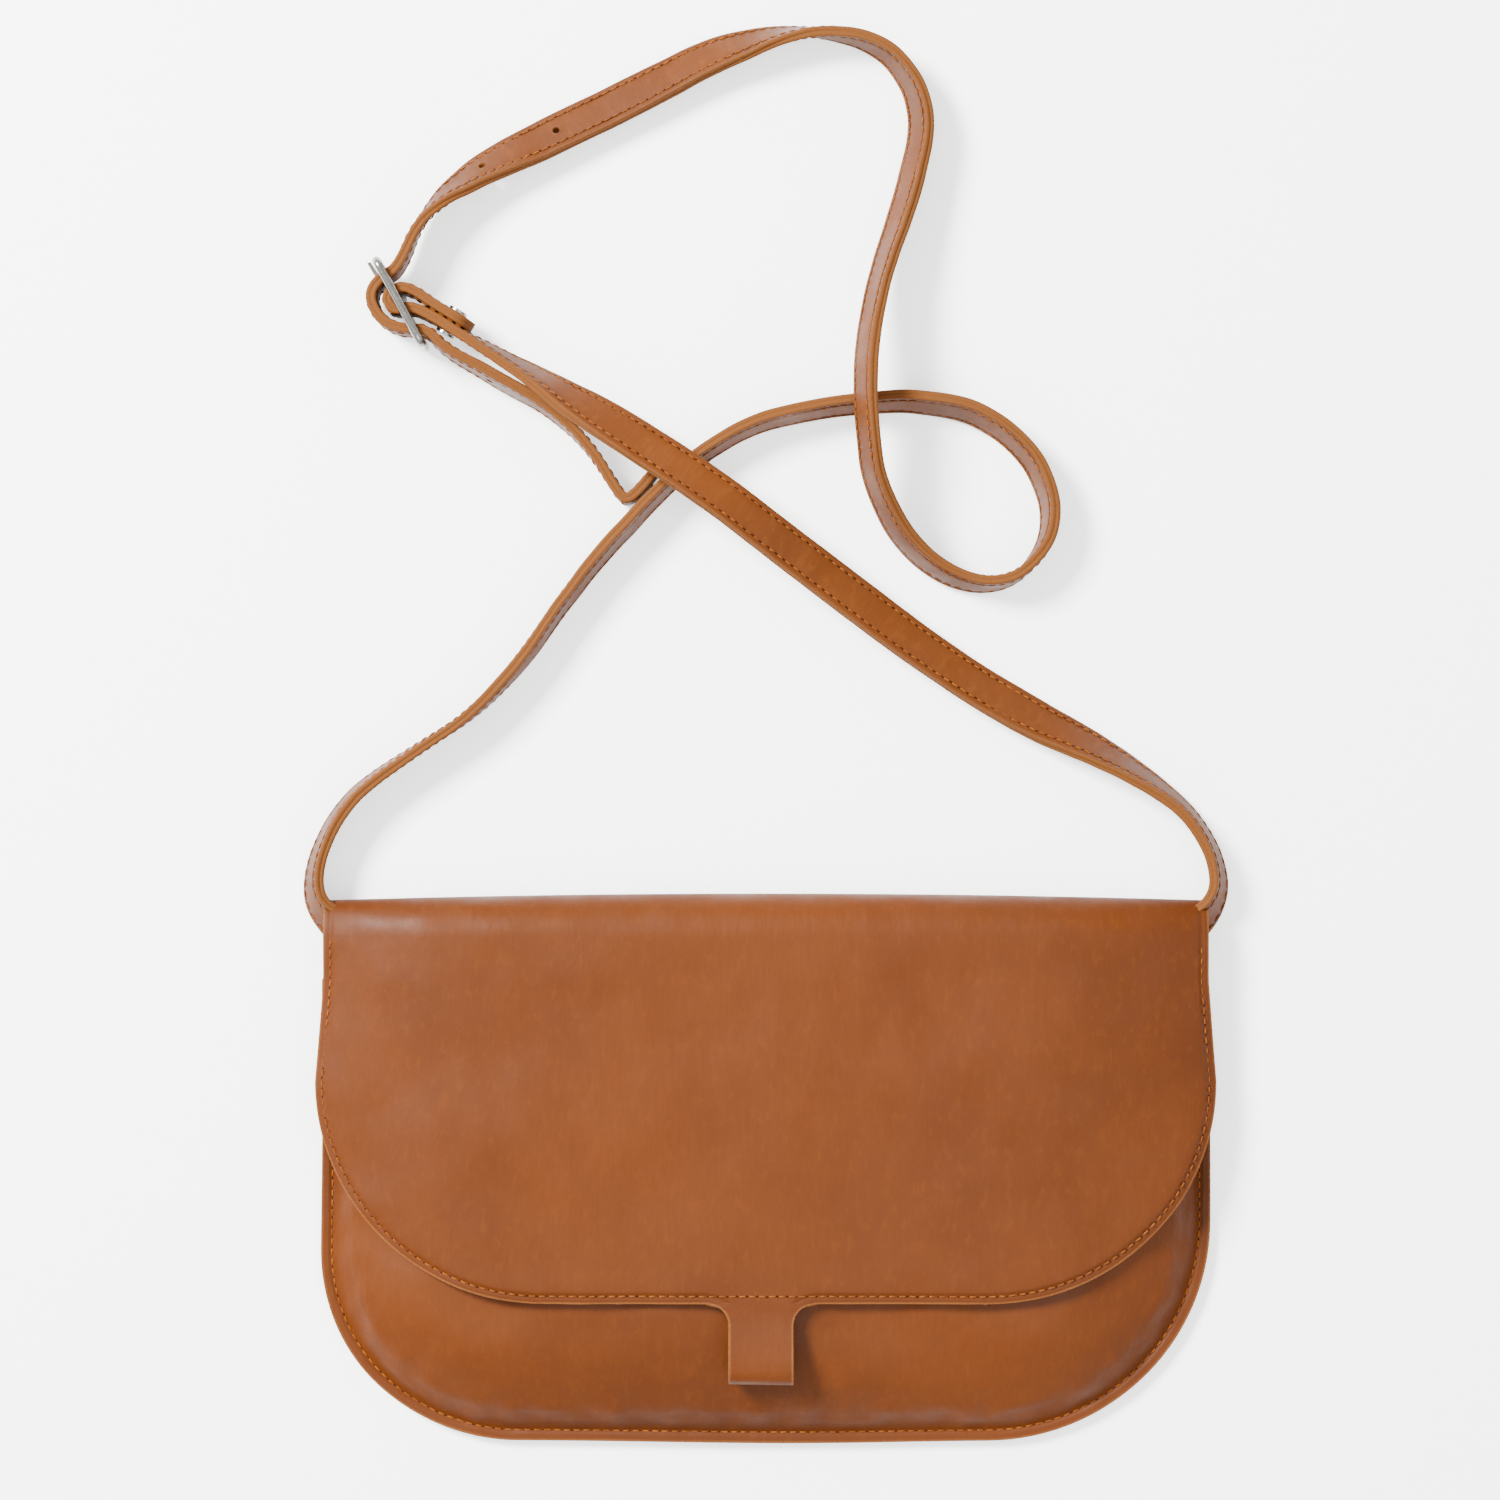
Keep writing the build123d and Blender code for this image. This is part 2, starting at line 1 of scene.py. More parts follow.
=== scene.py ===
"""Looks for the tan leather crossbody purse: hide, stitching, straps and metal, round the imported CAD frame.

The purse lies on its back. Lengths are in mm, and turn into metres where a mesh or curve is made.
"""

import math

import bpy
import numpy as np
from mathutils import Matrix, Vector


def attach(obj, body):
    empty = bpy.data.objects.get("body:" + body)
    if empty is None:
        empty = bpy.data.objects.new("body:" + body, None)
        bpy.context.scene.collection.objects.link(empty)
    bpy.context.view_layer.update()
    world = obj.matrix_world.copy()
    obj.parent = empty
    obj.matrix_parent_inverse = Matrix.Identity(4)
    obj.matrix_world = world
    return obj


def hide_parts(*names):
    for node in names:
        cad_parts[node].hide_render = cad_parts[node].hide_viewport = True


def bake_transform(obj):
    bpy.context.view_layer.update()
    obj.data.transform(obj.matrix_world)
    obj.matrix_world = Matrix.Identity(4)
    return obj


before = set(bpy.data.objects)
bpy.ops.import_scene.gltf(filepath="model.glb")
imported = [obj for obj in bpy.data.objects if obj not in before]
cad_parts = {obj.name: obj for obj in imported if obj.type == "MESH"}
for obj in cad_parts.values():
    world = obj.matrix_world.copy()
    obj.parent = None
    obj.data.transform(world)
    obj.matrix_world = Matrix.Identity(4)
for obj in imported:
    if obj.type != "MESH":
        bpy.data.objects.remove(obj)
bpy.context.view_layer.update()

MM = 0.001

# ---- sizes (mm)
LEATHER = 1.8
LINING = 0.8
GLUE = 0.02
STITCH_PITCH = 3.0

HALF_WIDTH = 136.0
BOTTOM_Y = -83.5
LEFT_CORNER = 60.0
RIGHT_CORNER = 68.0
MOUTH_Y = 58.0
SEAM_INSET = 3.2
EDGE_TRIM = 0.8  # off the CAD outline, so that an edge that wanders stays inside it
FRONT_TOP = 17.6
# Distance in from the pouch's edge, and the front's height there
FRONT_PROFILE = (
    (0.0, 3.6), (2.2, 3.5), (3.3, 3.25), (4.6, 3.9), (6.5, 5.9),
    (11.0, 9.8), (20.0, 14.0), (31.0, 16.8), (43.0, FRONT_TOP),
)
FRONT_DEPTH = FRONT_PROFILE[-1][0]
FRONT_INSETS = (
    0, 0.5, 1.0, 1.6, 2.2, 2.7, SEAM_INSET, 3.7, 4.2, 4.8, 5.5, 6.3, 7.2,
    8.3, 9.6, 11, 13, 15.5, 18.5, 22, 26, 30.5, 35, 39, FRONT_DEPTH,
)
LINING_FROM = 5.4
BACK_LINING_INSET = 8.0
FLAP_LINING_INSET = 0.7
SNAP_Y = -20.0

FOLD_Y = 72.0
FOLD_RADIUS = 11.5
FOLD_HALF = 134.5
FLAP_HALF = 136.3
FLAP_BOTTOM_Y = -38.0
FLAP_CORNER = (70.0, 66.0)
FLAP_STITCH = 2.3
FLAP_TOP = 23.2
DROOP_FROM = 78.0
DROOP_RADIUS = 170.0
TAB_X = -1.5
TAB_HALF = 9.6
TAB_FILLET = 6.5

STRAP_WIDTH = 13.0
STRAP_STITCH = 2.0
STRAP_END_RADIUS = STRAP_WIDTH / 2
HOLE_PITCH = 25.0
HOLE_RADIUS = 1.05
HOLE_LIP = 1.22
TONGUE_HOLE = (-117.17, 268.87, 9.7)
STRAP_END_THICK = 2.9
STRAP_END_Y = 65.5


# ---- smooth noise
def waves(x, y, size, seed, octaves=3):
    """Smooth, wandering undulation between about -1 and 1, with features about size across."""
    rng = np.random.default_rng(seed)
    total = np.zeros(np.broadcast(x, y).shape)
    weight = 0.0
    for octave in range(octaves):
        for _ in range(5):
            heading = rng.uniform(0, 2 * math.pi)
            phase = rng.uniform(0, 2 * math.pi)
            k = 2 * math.pi / (size / 1.9**octave) * rng.uniform(0.7, 1.3)
            ahead = x * math.cos(heading) + y * math.sin(heading)
            aside = y * math.cos(heading) - x * math.sin(heading)
            bend = 1.1 * np.sin(aside * k * 0.6 + phase * 2)
            total += 0.55**octave * np.sin(ahead * k + phase + bend)
            weight += 0.55 ** (2 * octave) * 0.5
    return total / math.sqrt(weight) / 1.7


# ---- materials
def linear(red, green, blue):
    """A display colour, 0 to 255, as the linear one that shaders take."""
    shares = [c / 255 for c in (red, green, blue)]
    return tuple(c / 12.92 if c <= 0.04045 else ((c + 0.055) / 1.055) ** 2.4 for c in shares) + (1.0,)


class Nodes:
    """Short names for wiring a shader."""

    def __init__(self, name):
        self.material = bpy.data.materials.new(name)
        self.material.use_nodes = True
        self.tree = self.material.node_tree
        self.shader = self.tree.nodes["Principled BSDF"]

    def put(self, value, socket):
        if hasattr(value, "is_output"):
            self.tree.links.new(value, socket)
        else:
            socket.default_value = value

    def set(self, name, value):
        self.put(value, self.shader.inputs[name])

    def attribute(self, name, output):
        node = self.tree.nodes.new("ShaderNodeAttribute")
        node.attribute_name = name
        return node.outputs[output]

    def scaled(self, vector, factors):
        node = self.tree.nodes.new("ShaderNodeVectorMath")
        node.operation = "MULTIPLY"
        self.put(vector, node.inputs[0])
        self.put(factors, node.inputs[1])
        return node.outputs[0]

    def noise(self, vector, scale, detail=3.0, rough=0.55, distortion=0.0):
        node = self.tree.nodes.new("ShaderNodeTexNoise")
        self.put(vector, node.inputs["Vector"])
        self.put(scale, node.inputs["Scale"])
        self.put(detail, node.inputs["Detail"])
        self.put(rough, node.inputs["Roughness"])
        self.put(distortion, node.inputs["Distortion"])
        return node.outputs["Fac"]

    def cells(self, vector, scale):
        node = self.tree.nodes.new("ShaderNodeTexVoronoi")
        node.feature = "DISTANCE_TO_EDGE"
        self.put(vector, node.inputs["Vector"])
        self.put(scale, node.inputs["Scale"])
        return node.outputs["Distance"]

    def remap(self, value, low, high, to_low=0.0, to_high=1.0):
        node = self.tree.nodes.new("ShaderNodeMapRange")
        node.interpolation_type = "SMOOTHSTEP"
        self.put(value, node.inputs["Value"])
        node.inputs["From Min"].default_value = low
        node.inputs["From Max"].default_value = high
        node.inputs["To Min"].default_value = to_low
        node.inputs["To Max"].default_value = to_high
        return node.outputs["Result"]

    def math(self, operation, a, b=0.0):
        node = self.tree.nodes.new("ShaderNodeMath")
        node.operation = operation
        self.put(a, node.inputs[0])
        self.put(b, node.inputs[1])
        return node.outputs[0]

    def mix(self, factor, a, b):
        node = self.tree.nodes.new("ShaderNodeMix")
        node.data_type = "RGBA"
        self.put(factor, node.inputs["Factor"])
        self.put(a, node.inputs["A"])
        self.put(b, node.inputs["B"])
        return node.outputs["Result"]

    def bump(self, height, distance, strength=1.0, after=None):
        node = self.tree.nodes.new("ShaderNodeBump")
        self.put(height, node.inputs["Height"])
        self.put(distance, node.inputs["Distance"])
        self.put(strength, node.inputs["Strength"])
        if after is not None:
            self.put(after, node.inputs["Normal"])
        return node.outputs["Normal"]


def leather(name, tan, dark, pale, raw, stitch_at, mottle_size):
    """Vegetable-tanned hide: mottled, finely grained, darker along its edges, pale where it is cut."""
    n = Nodes(name)
    rest = n.attribute("rest", "Vector")
    border = n.attribute("border", "Fac")
    cut = n.attribute("cut", "Fac")
    cloud = n.noise(rest, 1.0 / mottle_size, 4.0, 0.6, 0.4)
    patch = n.noise(rest, 4.2 / mottle_size, 5.0, 0.62, 0.2)
    streak = n.noise(n.scaled(rest, (1.0, 0.16, 1.0)), 900.0, 4.0, 0.6)
    colour = n.mix(n.remap(cloud, 0.34, 0.62), dark, tan)
    colour = n.mix(n.remap(patch, 0.48, 0.8, 0.0, 0.4), colour, pale)
    colour = n.mix(n.remap(streak, 0.38, 0.66, 0.0, 0.3), colour, dark)
    speck = n.noise(n.scaled(rest, (1.0, 0.45, 1.0)), 420.0, 3.0, 0.6)
    colour = n.mix(n.remap(speck, 0.5, 0.72, 0.0, 0.35), colour, pale)
    # Darker towards the edges, by up to 42%, varied by the patches.
    edge_darkening = n.remap(border, 0.3, 5.5, 0.42, 0.0)
    colour = n.mix(n.math("MULTIPLY", edge_darkening, n.remap(patch, 0.3, 0.6, 0.5, 1.0)), colour, dark)
    fibre = n.noise(n.scaled(rest, (1.0, 1.0, 3.0)), 1400.0, 3.0, 0.7)
    raw_colour = n.mix(n.remap(fibre, 0.3, 0.7, 0.0, 0.6), raw, dark)
    lip = n.remap(n.math("ADD", border, n.math("MULTIPLY", patch, 0.5)), 0.45, 1.0, 0.75, 0.0)
    colour = n.mix(n.math("MAXIMUM", cut, lip), colour, raw_colour)
    n.set("Base Color", colour)
    gloss = n.remap(n.noise(rest, 55.0, 3.0), 0.3, 0.7, 0.46, 0.64)
    n.set("Roughness", n.math("MAXIMUM", gloss, n.math("MULTIPLY", cut, 0.8)))
    n.set("IOR", 1.22)
    wrinkle = n.noise(n.scaled(rest, (1.0, 0.55, 1.0)), 130.0, 5.0, 0.6, 0.6)
    grain = n.cells(rest, 1500.0)
    groove = n.remap(n.math("ABSOLUTE", n.math("SUBTRACT", border, stitch_at)), 0.0, 1.3, 1.0, 0.0)
    crease = n.math("SUBTRACT", 1.0, n.math("MULTIPLY", groove, n.attribute("sewn", "Fac")))
    normal = n.bump(crease, 0.00035, 0.7)
    normal = n.bump(wrinkle, 0.0006, 0.35, normal)
    normal = n.bump(n.math("ADD", grain, streak), 0.00012, 0.35, normal)
    n.set("Normal", normal)
    return n.material


def suede(name, colour, dark):
    """Napped lining: matt, soft, with brushed patches."""
    n = Nodes(name)
    rest = n.attribute("rest", "Vector")
    brushed = n.noise(rest, 40.0, 5.0, 0.65, 1.2)
    nap = n.noise(n.scaled(rest, (1.0, 0.5, 1.0)), 1800.0, 4.0, 0.7)
    mixed = n.mix(n.remap(brushed, 0.35, 0.7), dark, colour)
    n.set("Base Color", n.mix(n.remap(nap, 0.35, 0.7, 0.0, 0.35), mixed, dark))
    n.set("Roughness", 0.95)
    n.set("Sheen Weight", 0.35)
    n.set("Sheen Roughness", 0.5)
    n.set("Normal", n.bump(nap, 0.0002, 0.6))
    return n.material


def waxed_thread(name, colour, dark):
    """Twisted, waxed thread."""
    n = Nodes(name)
    rest = n.attribute("rest", "Vector")
    twist = n.tree.nodes.new("ShaderNodeTexWave")
    twist.bands_direction = "DIAGONAL"
    n.put(rest, twist.inputs["Vector"])
    twist.inputs["Scale"].default_value = 900.0
    twist.inputs["Distortion"].default_value = 1.5
    soil = n.noise(rest, 90.0, 3.0)
    mixed = n.mix(n.remap(soil, 0.4, 0.65), dark, colour)
    n.set("Base Color", n.mix(n.math("MULTIPLY", twist.outputs["Fac"], 0.3), mixed, dark))
    n.set("Roughness", 0.75)
    n.set("IOR", 1.2)
    n.set("Normal", n.bump(twist.outputs["Fac"], 0.0001, 0.6))
    return n.material


def nickel(name):
    """Polished plate with faint rubbing and darker cloudy patches."""
    n = Nodes(name)
    place = n.tree.nodes.new("ShaderNodeTexCoord").outputs["Object"]
    cloud = n.noise(place, 220.0, 5.0, 0.6)
    rub = n.noise(n.scaled(place, (1.0, 1.0, 9.0)), 900.0, 3.0, 0.6)
    colour = n.mix(n.remap(cloud, 0.35, 0.75), linear(132, 130, 126), linear(96, 93, 88))
    n.set("Base Color", colour)
    n.set("Metallic", 1.0)
    dulled = n.math("ADD", n.remap(cloud, 0.3, 0.75, 0.14, 0.28), n.remap(rub, 0.45, 0.8, 0.0, 0.12))
    n.set("Roughness", dulled)
    n.set("Normal", n.bump(rub, 0.00003, 0.4))
    return n.material


def plain(name, colour, roughness):
    """A dull, dark colour: painted shade for a needle hole, or the inside wall of a punched hole."""
    n = Nodes(name)
    place = n.tree.nodes.new("ShaderNodeTexCoord").outputs["Object"]
    # Random darker flecks: deeper painted shade in a needle hole, dirt on a punched hole's wall.
    dirt_and_shade = n.remap(n.noise(place, 600.0), 0.3, 0.7, 0.0, 0.35)
    n.set("Base Color", n.mix(dirt_and_shade, colour, (0.01, 0.006, 0.003, 1)))
    n.set("Roughness", roughness)
    n.set("IOR", 1.05)
    return n.material


TAN, DARK, PALE = linear(73, 32, 0), linear(64, 27, 0), linear(80, 37, 1)
HIDE = leather("hide", TAN, DARK, PALE, linear(104, 62, 24), FLAP_STITCH, 0.13)
HIDE_POUCH = leather("hide_pouch", TAN, DARK, PALE, linear(102, 61, 24), SEAM_INSET, 0.11)
STRAP = leather(
    "strap_hide", linear(78, 37, 3), linear(66, 30, 2), linear(88, 45, 9), linear(90, 52, 18), STRAP_STITCH, 0.07
)
SUEDE = suede("suede", linear(106, 62, 30), linear(84, 46, 20))
THREAD = waxed_thread("thread", linear(120, 66, 18), linear(94, 48, 10))
# Dark brown discs at the stitch ends: painted shade standing in for the needle holes.
NEEDLE_HOLE_SHADE = plain("needle_hole_shade", linear(44, 18, 5), 0.9)
NICKEL = nickel("nickel")


# ---- mesh building
def make_object(name, points, faces, materials, face_slots=None, **attributes):
    """A smooth mesh object from points in mm, with its own per-point values for the shaders."""
    mesh = bpy.data.meshes.new(name)
    mesh.from_pydata((np.asarray(points) * MM).tolist(), [], [tuple(int(i) for i in face) for face in faces])
    for material in materials:
        mesh.materials.append(material)
    mesh.polygons.foreach_set("use_smooth", [True] * len(mesh.polygons))
    if face_slots is not None:
        mesh.polygons.foreach_set("material_index", [int(s) for s in face_slots])
    for key, values in attributes.items():
        values = np.asarray(values, dtype=float)
        kind = "FLOAT_VECTOR" if values.ndim == 2 else "FLOAT"
        layer = mesh.attributes.new(key, kind, "POINT")
        layer.data.foreach_set("vector" if values.ndim == 2 else "value", values.ravel())
    mesh.update()
    piece = bpy.data.objects.new(name, mesh)
    bpy.context.collection.objects.link(piece)
    return piece


def grid_faces(rows, columns, first=0):
    """Quads of a rows by columns grid of points."""
    r, c = np.meshgrid(np.arange(rows - 1), np.arange(columns - 1), indexing="ij")
    a = first + (r * columns + c).ravel()
    return np.stack([a, a + 1, a + columns + 1, a + columns], axis=1)


def closing_faces(rows, columns, first=0):
    """Quads that join such a grid's last column to its first, which makes it a tube."""
    start = first + np.arange(rows - 1) * columns
    return np.stack([start + columns - 1, start, start + columns, start + 2 * columns - 1], axis=1)


def unit(vectors):
    """Each row, brought to a length of 1."""
    return vectors / np.maximum(np.linalg.norm(vectors, axis=1, keepdims=True), 1e-9)


def run_along(line):
    """The distance from a polyline's start to each of its points."""
    return np.concatenate([[0], np.cumsum(np.linalg.norm(np.diff(line, axis=0), axis=1))])


def values_at(places, run, values):
    """Rows of values, read at places between the points that they belong to."""
    return np.stack([np.interp(places, run, values[:, k]) for k in range(values.shape[1])], axis=1)


def point_normals(points, faces):
    """Area-weighted normals at the points."""
    corner = points[faces]
    face_normal = np.cross(corner[:, 2] - corner[:, 0], corner[:, 3] - corner[:, 1])
    normals = np.zeros_like(points)
    for k in range(4):
        np.add.at(normals, faces[:, k], face_normal)
    return unit(normals)


def free_edges(faces):
    """Edges with a face on one side only, in that face's direction."""
    edges = np.concatenate([faces[:, [k, (k + 1) % 4]] for k in range(4)])
    known = {(int(a), int(b)) for a, b in edges}
    return np.array([(a, b) for a, b in known if (b, a) not in known])


def thick_sheet(name, points, faces, thickness, material, rest, border, open_if=None, normals=None, sewn=None):
    """A sheet of hide: its outer face through the points, its inner face behind, and rounded cut edges.

    Where open_if holds, the edge is left open, for a neighbour that carries the sheet on.
    """
    used = np.unique(faces)
    place = np.full(len(points), -1)
    place[used] = np.arange(len(used))
    sewn = np.ones(len(points)) if sewn is None else sewn
    points, rest, border, sewn = points[used], rest[used], border[used], sewn[used]
    normals = point_normals(points, place[faces]) if normals is None else normals[used]
    faces = place[faces]
    count = len(points)
    rim = free_edges(faces)
    if open_if is not None:
        left_open = open_if[used[rim]].all(axis=1)
        rim = rim[~left_open]
    out = np.zeros_like(points)
    for a, b in rim:
        across = np.cross(points[b] - points[a], normals[a] + normals[b])
        across /= max(np.linalg.norm(across), 1e-9)
        out[a] += across
        out[b] += across
    members = np.unique(rim)
    out[members] = unit(out[members])
    # The cut edge's rows: share of the thickness, and how far the edge bulges out
    rows = ((0.0, -0.02), (0.14, 0.13), (0.5, 0.2), (0.86, 0.13), (1.0, -0.02))
    index = np.full(count, -1)
    index[members] = np.arange(len(members))
    ends, starts = index[rim[:, 1]], index[rim[:, 0]]
    layers = [points[members] - normals[members] * thickness * depth + out[members] * bulge for depth, bulge in rows]
    everything = np.concatenate([points, points - normals * thickness] + layers)
    quads = [faces, faces[:, ::-1] + count]
    first = 2 * count
    for level in range(len(rows) - 1):
        low = first + level * len(members)
        high = low + len(members)
        quads.append(np.stack([low + ends, low + starts, high + starts, high + ends], axis=1))
    edge_rest = [rest[members] - (0, 0, thickness * depth) for depth, _ in rows]
    edge_zeros = np.zeros(len(rows) * len(members))
    return make_object(
        name, everything, np.concatenate(quads), [material],
        cut=np.concatenate([np.zeros(2 * count), edge_zeros + 1]),
        rest=np.concatenate([rest, rest - (0, 0, thickness)] + edge_rest) * MM,
        border=np.concatenate([border, border, edge_zeros]),
        sewn=np.concatenate([sewn, 0 * sewn, edge_zeros]),
    )


def distance_to(points, line):
    """Shortest distance in plan from each point to a densely sampled line."""
    result = np.empty(len(points))
    for start in range(0, len(points), 2000):
        gaps = points[start : start + 2000, None, :] - line[None, :, :]
        result[start : start + 2000] = np.sqrt((gaps**2).sum(axis=2)).min(axis=1)
    return result


def even_stations(line, pitch, start, stop_short):
    """Stations a pitch apart along a polyline, with directions."""
    run = run_along(line)
    places = np.arange(start, run[-1] - stop_short, pitch)
    along = values_at(places + 0.4, run, line) - values_at(places - 0.4, run, line)
    return values_at(places, run, line), unit(along)


def stitch_row(name, centres, along, normals, length=2.25, radius=0.27, seed=1):
    """Threads lying in the hide's surface, each dipping into a needle hole at both ends, where a flat dark disc is
    painted shade for the hole.
    """
    rng = np.random.default_rng(seed)
    # Half of a stitch: place along it, share of the full radius, and height in radii
    half = [(-0.5, 0.3, -0.9), (-0.42, 0.8, -0.25), (-0.2, 1.0, 0.18)]
    profile = half + [(0.0, 1.05, 0.26)] + [(-at, width, lift) for at, width, lift in half[::-1]]
    spokes = 6
    angles = np.arange(spokes) * 2 * math.pi / spokes
    points, faces, slots, rest = [], [], [], []
    first = 0
    for centre, forward, up in zip(centres, along, normals):
        up = up - forward * np.dot(up, forward)
        up /= max(np.linalg.norm(up), 1e-9)
        side = np.cross(up, forward)
        turn = rng.normal(0, 0.045)
        forward = forward * math.cos(turn) + side * math.sin(turn)
        side = np.cross(up, forward)
        size = length * rng.uniform(0.94, 1.05)
        ring = []
        for position, width, lift in profile:
            middle = centre + forward * position * size + up * lift * radius
            for angle in angles:
                ring.append(middle + (side * math.cos(angle) + up * math.sin(angle)) * radius * width)
        points.append(ring)
        x, y, z = centre
        rest.append([(x + p * 2, y + k, z) for p in range(len(profile)) for k in range(spokes)])
        body = grid_faces(len(profile), spokes, first)
        closing = closing_faces(len(profile), spokes, first)
        faces.extend(body.tolist())
        faces.extend(closing.tolist())
        slots.extend([0] * (len(body) + len(closing)))
        first += len(ring)
        # At each end a flat dark disc just above the surface: painted shade for the needle hole.
        for end in (-1, 1):
            hole = centre + forward * end * (size / 2 + 0.12) + up * 0.035
            shade_disc = [hole + (forward * math.cos(angle) * 0.8 + side * math.sin(angle)) * 0.34 for angle in angles]
            points.append(shade_disc)
            rest.append([(0, 0, 0)] * spokes)
            faces.append(tuple(first + k for k in range(spokes)))
            slots.append(1)
            first += spokes
    piece = make_object(name, np.concatenate(points), faces, [THREAD, NEEDLE_HOLE_SHADE], slots, rest=np.concatenate(rest) * MM)
    return piece


def lift_to(surface_points, surface_normals, wanted):
    """Each point wanted in plan, lifted onto the sampled surface, and the surface's normal there."""
    lifted, normals = [], []
    for point in wanted:
        gap = ((surface_points[:, :2] - point[:2]) ** 2).sum(axis=1)
        near = np.argpartition(gap, 6)[:6]
        weight = 1 / (gap[near] + 0.02)
        weight /= weight.sum()
        lifted.append((point[0], point[1], float((surface_points[near, 2] * weight).sum())))
        normals.append((surface_normals[near] * weight[:, None]).sum(axis=0))
    return np.array(lifted), unit(np.array(normals))


# ---- pouch front
def rounded_u(inset):
    """The pouch's outline, taken in by inset: down the left side, round the bottom and up the right side."""
    left = LEFT_CORNER - inset
    right = RIGHT_CORNER - inset
    x = HALF_WIDTH - inset
    low = BOTTOM_Y + inset
    turn = np.linspace(0, math.pi / 2, 44, endpoint=False)
    line = [(-x, y) for y in np.linspace(MOUTH_Y, low + left, 30, endpoint=False)]
    line += [(-x + left * (1 - math.cos(a)), low + left * (1 - math.sin(a))) for a in turn]
    line += [(px, low) for px in np.linspace(-x + left, x - right, 64, endpoint=False)]
    line += [(x - right * (1 - math.sin(a)), low + right * (1 - math.cos(a))) for a in turn]
    line += [(x, y) for y in np.linspace(low + right, MOUTH_Y, 30)]
    return np.array(line)


def side_wander(x, y):
    """How far the pouch's edge wanders from its drafted line."""
    return 0.45 * waves(x, y, 130.0, 5, 1)


def side_share(x):
    """0 over the pouch's middle, 1 along its sides."""
    return np.clip(np.abs(x) / 60 - 0.9, 0, 1)


def bottom_share(y):
    """0 over the pouch's upper half, 1 along its bottom."""
    return np.clip((-y - 30) / 40, 0, 1)


profile_x = np.linspace(0, FRONT_DEPTH, 400)
profile_z = np.interp(profile_x, *np.transpose(FRONT_PROFILE))
kernel = np.exp(-np.linspace(-2, 2, 15) ** 2)
profile_z = np.convolve(np.pad(profile_z, 7, mode="edge"), kernel / kernel.sum(), mode="valid")


def front_rings():
    """The front's outer face as nested outlines, then as shrinking outlines to the mouth's middle."""
    edge_line = rounded_u(0)
    edge_run = run_along(edge_line)
    rings, borders = [], []
    for inset in FRONT_INSETS:
        plan = rounded_u(inset)
        height = np.full(len(plan), np.interp(inset, profile_x, profile_z))
        pucker = waves(edge_run, edge_run * 0 + inset, 17.0, 11, 2)
        height += 0.55 * pucker * math.exp(-(((inset - 9.0) / 4.5) ** 2))
        height += 0.10 * waves(edge_run, edge_run * 0, 6.0, 12, 1) * math.exp(-(((inset - SEAM_INSET) / 1.5) ** 2))
        height += 0.7 * waves(plan[:, 0], plan[:, 1], 60.0, 13) * np.clip((inset - 6) / 20, 0, 1)
        wander = side_wander(edge_line[:, 0], edge_line[:, 1]) * max(0.0, 1 - inset / 20)
        inwards = np.stack([-np.sign(plan[:, 0]) * side_share(plan[:, 0]), bottom_share(plan[:, 1])], axis=1)
        plan = plan + inwards * (EDGE_TRIM + wander)[:, None]
        rings.append(np.column_stack([plan, height]))
        borders.append(np.full(len(plan), inset))
    last = rings[-1]
    for shrink in (0.06, 0.13, 0.22, 0.33, 0.46, 0.6, 0.75, 0.9, 0.985):
        ring = last.copy()
        ring[:, 0] *= 1 - shrink
        ring[:, 1] = last[:, 1] + (MOUTH_Y - last[:, 1]) * shrink
        near_snap = np.exp(-(((ring[:, 0] - TAB_X) ** 2 + (ring[:, 1] - SNAP_Y) ** 2) / 20**2))
        swell = waves(ring[:, 0], ring[:, 1], 60.0, 13)
        ring[:, 2] = FRONT_TOP + 0.5 * swell * (1 - near_snap) * (1 - 0.3 * shrink)
        rings.append(ring)
        borders.append(np.full(len(ring), FRONT_DEPTH + 60 * shrink))
    points = np.concatenate(rings)
    return points, grid_faces(len(rings), len(last)), np.concatenate(borders)


front_points, front_faces, front_border = front_rings()
front_normals = point_normals(front_points, front_faces)
if front_normals[:, 2].mean() < 0:
    front_faces = front_faces[:, ::-1]
    front_normals = -front_normals
front_rest = front_points + (0, 700, 0)  # clear of the back's, so that their mottling differs
front = thick_sheet("front", front_points, front_faces, LEATHER, HIDE_POUCH, front_rest, front_border)
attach(front, "pouch")
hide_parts("front_panel")

lined_faces = front_faces[front_border[front_faces].min(axis=1) >= LINING_FROM]
liner_points = front_points - front_normals * (LEATHER + GLUE)
front_liner = thick_sheet("front_liner", liner_points, lined_faces, LINING, SUEDE, front_rest, front_border)
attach(front_liner, "pouch")
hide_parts("front_lining")

seam_line = front_points[front_border == SEAM_INSET]
centres, along = even_stations(seam_line, STITCH_PITCH, 2.0, 2.0)
_, seam_normals = lift_to(front_points, front_normals, centres)
seam = stitch_row("pouch_seam", centres, along, seam_normals, seed=3)
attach(seam, "pouch")
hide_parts("pouch_seam_thread")


# ---- back, fold, flap and pull loop, one hide
# The hide's own measures are x, across it, and v, the run along it from the pouch's bottom to the flap's lower edge
BACK_RUN = FOLD_Y - BOTTOM_Y
FOLD_RUN = math.pi * FOLD_RADIUS
FLAP_START = BACK_RUN + FOLD_RUN
FLAP_END = FLAP_START + FOLD_Y - FLAP_BOTTOM_Y
TAB_REACH = TAB_HALF + TAB_FILLET


def roof(x):
    """Height of the flap across its width: flat in the middle, drooping at the sides."""
    return FLAP_TOP - DROOP_RADIUS + np.sqrt(DROOP_RADIUS**2 - np.clip(np.abs(x) - DROOP_FROM, 0, None) ** 2)


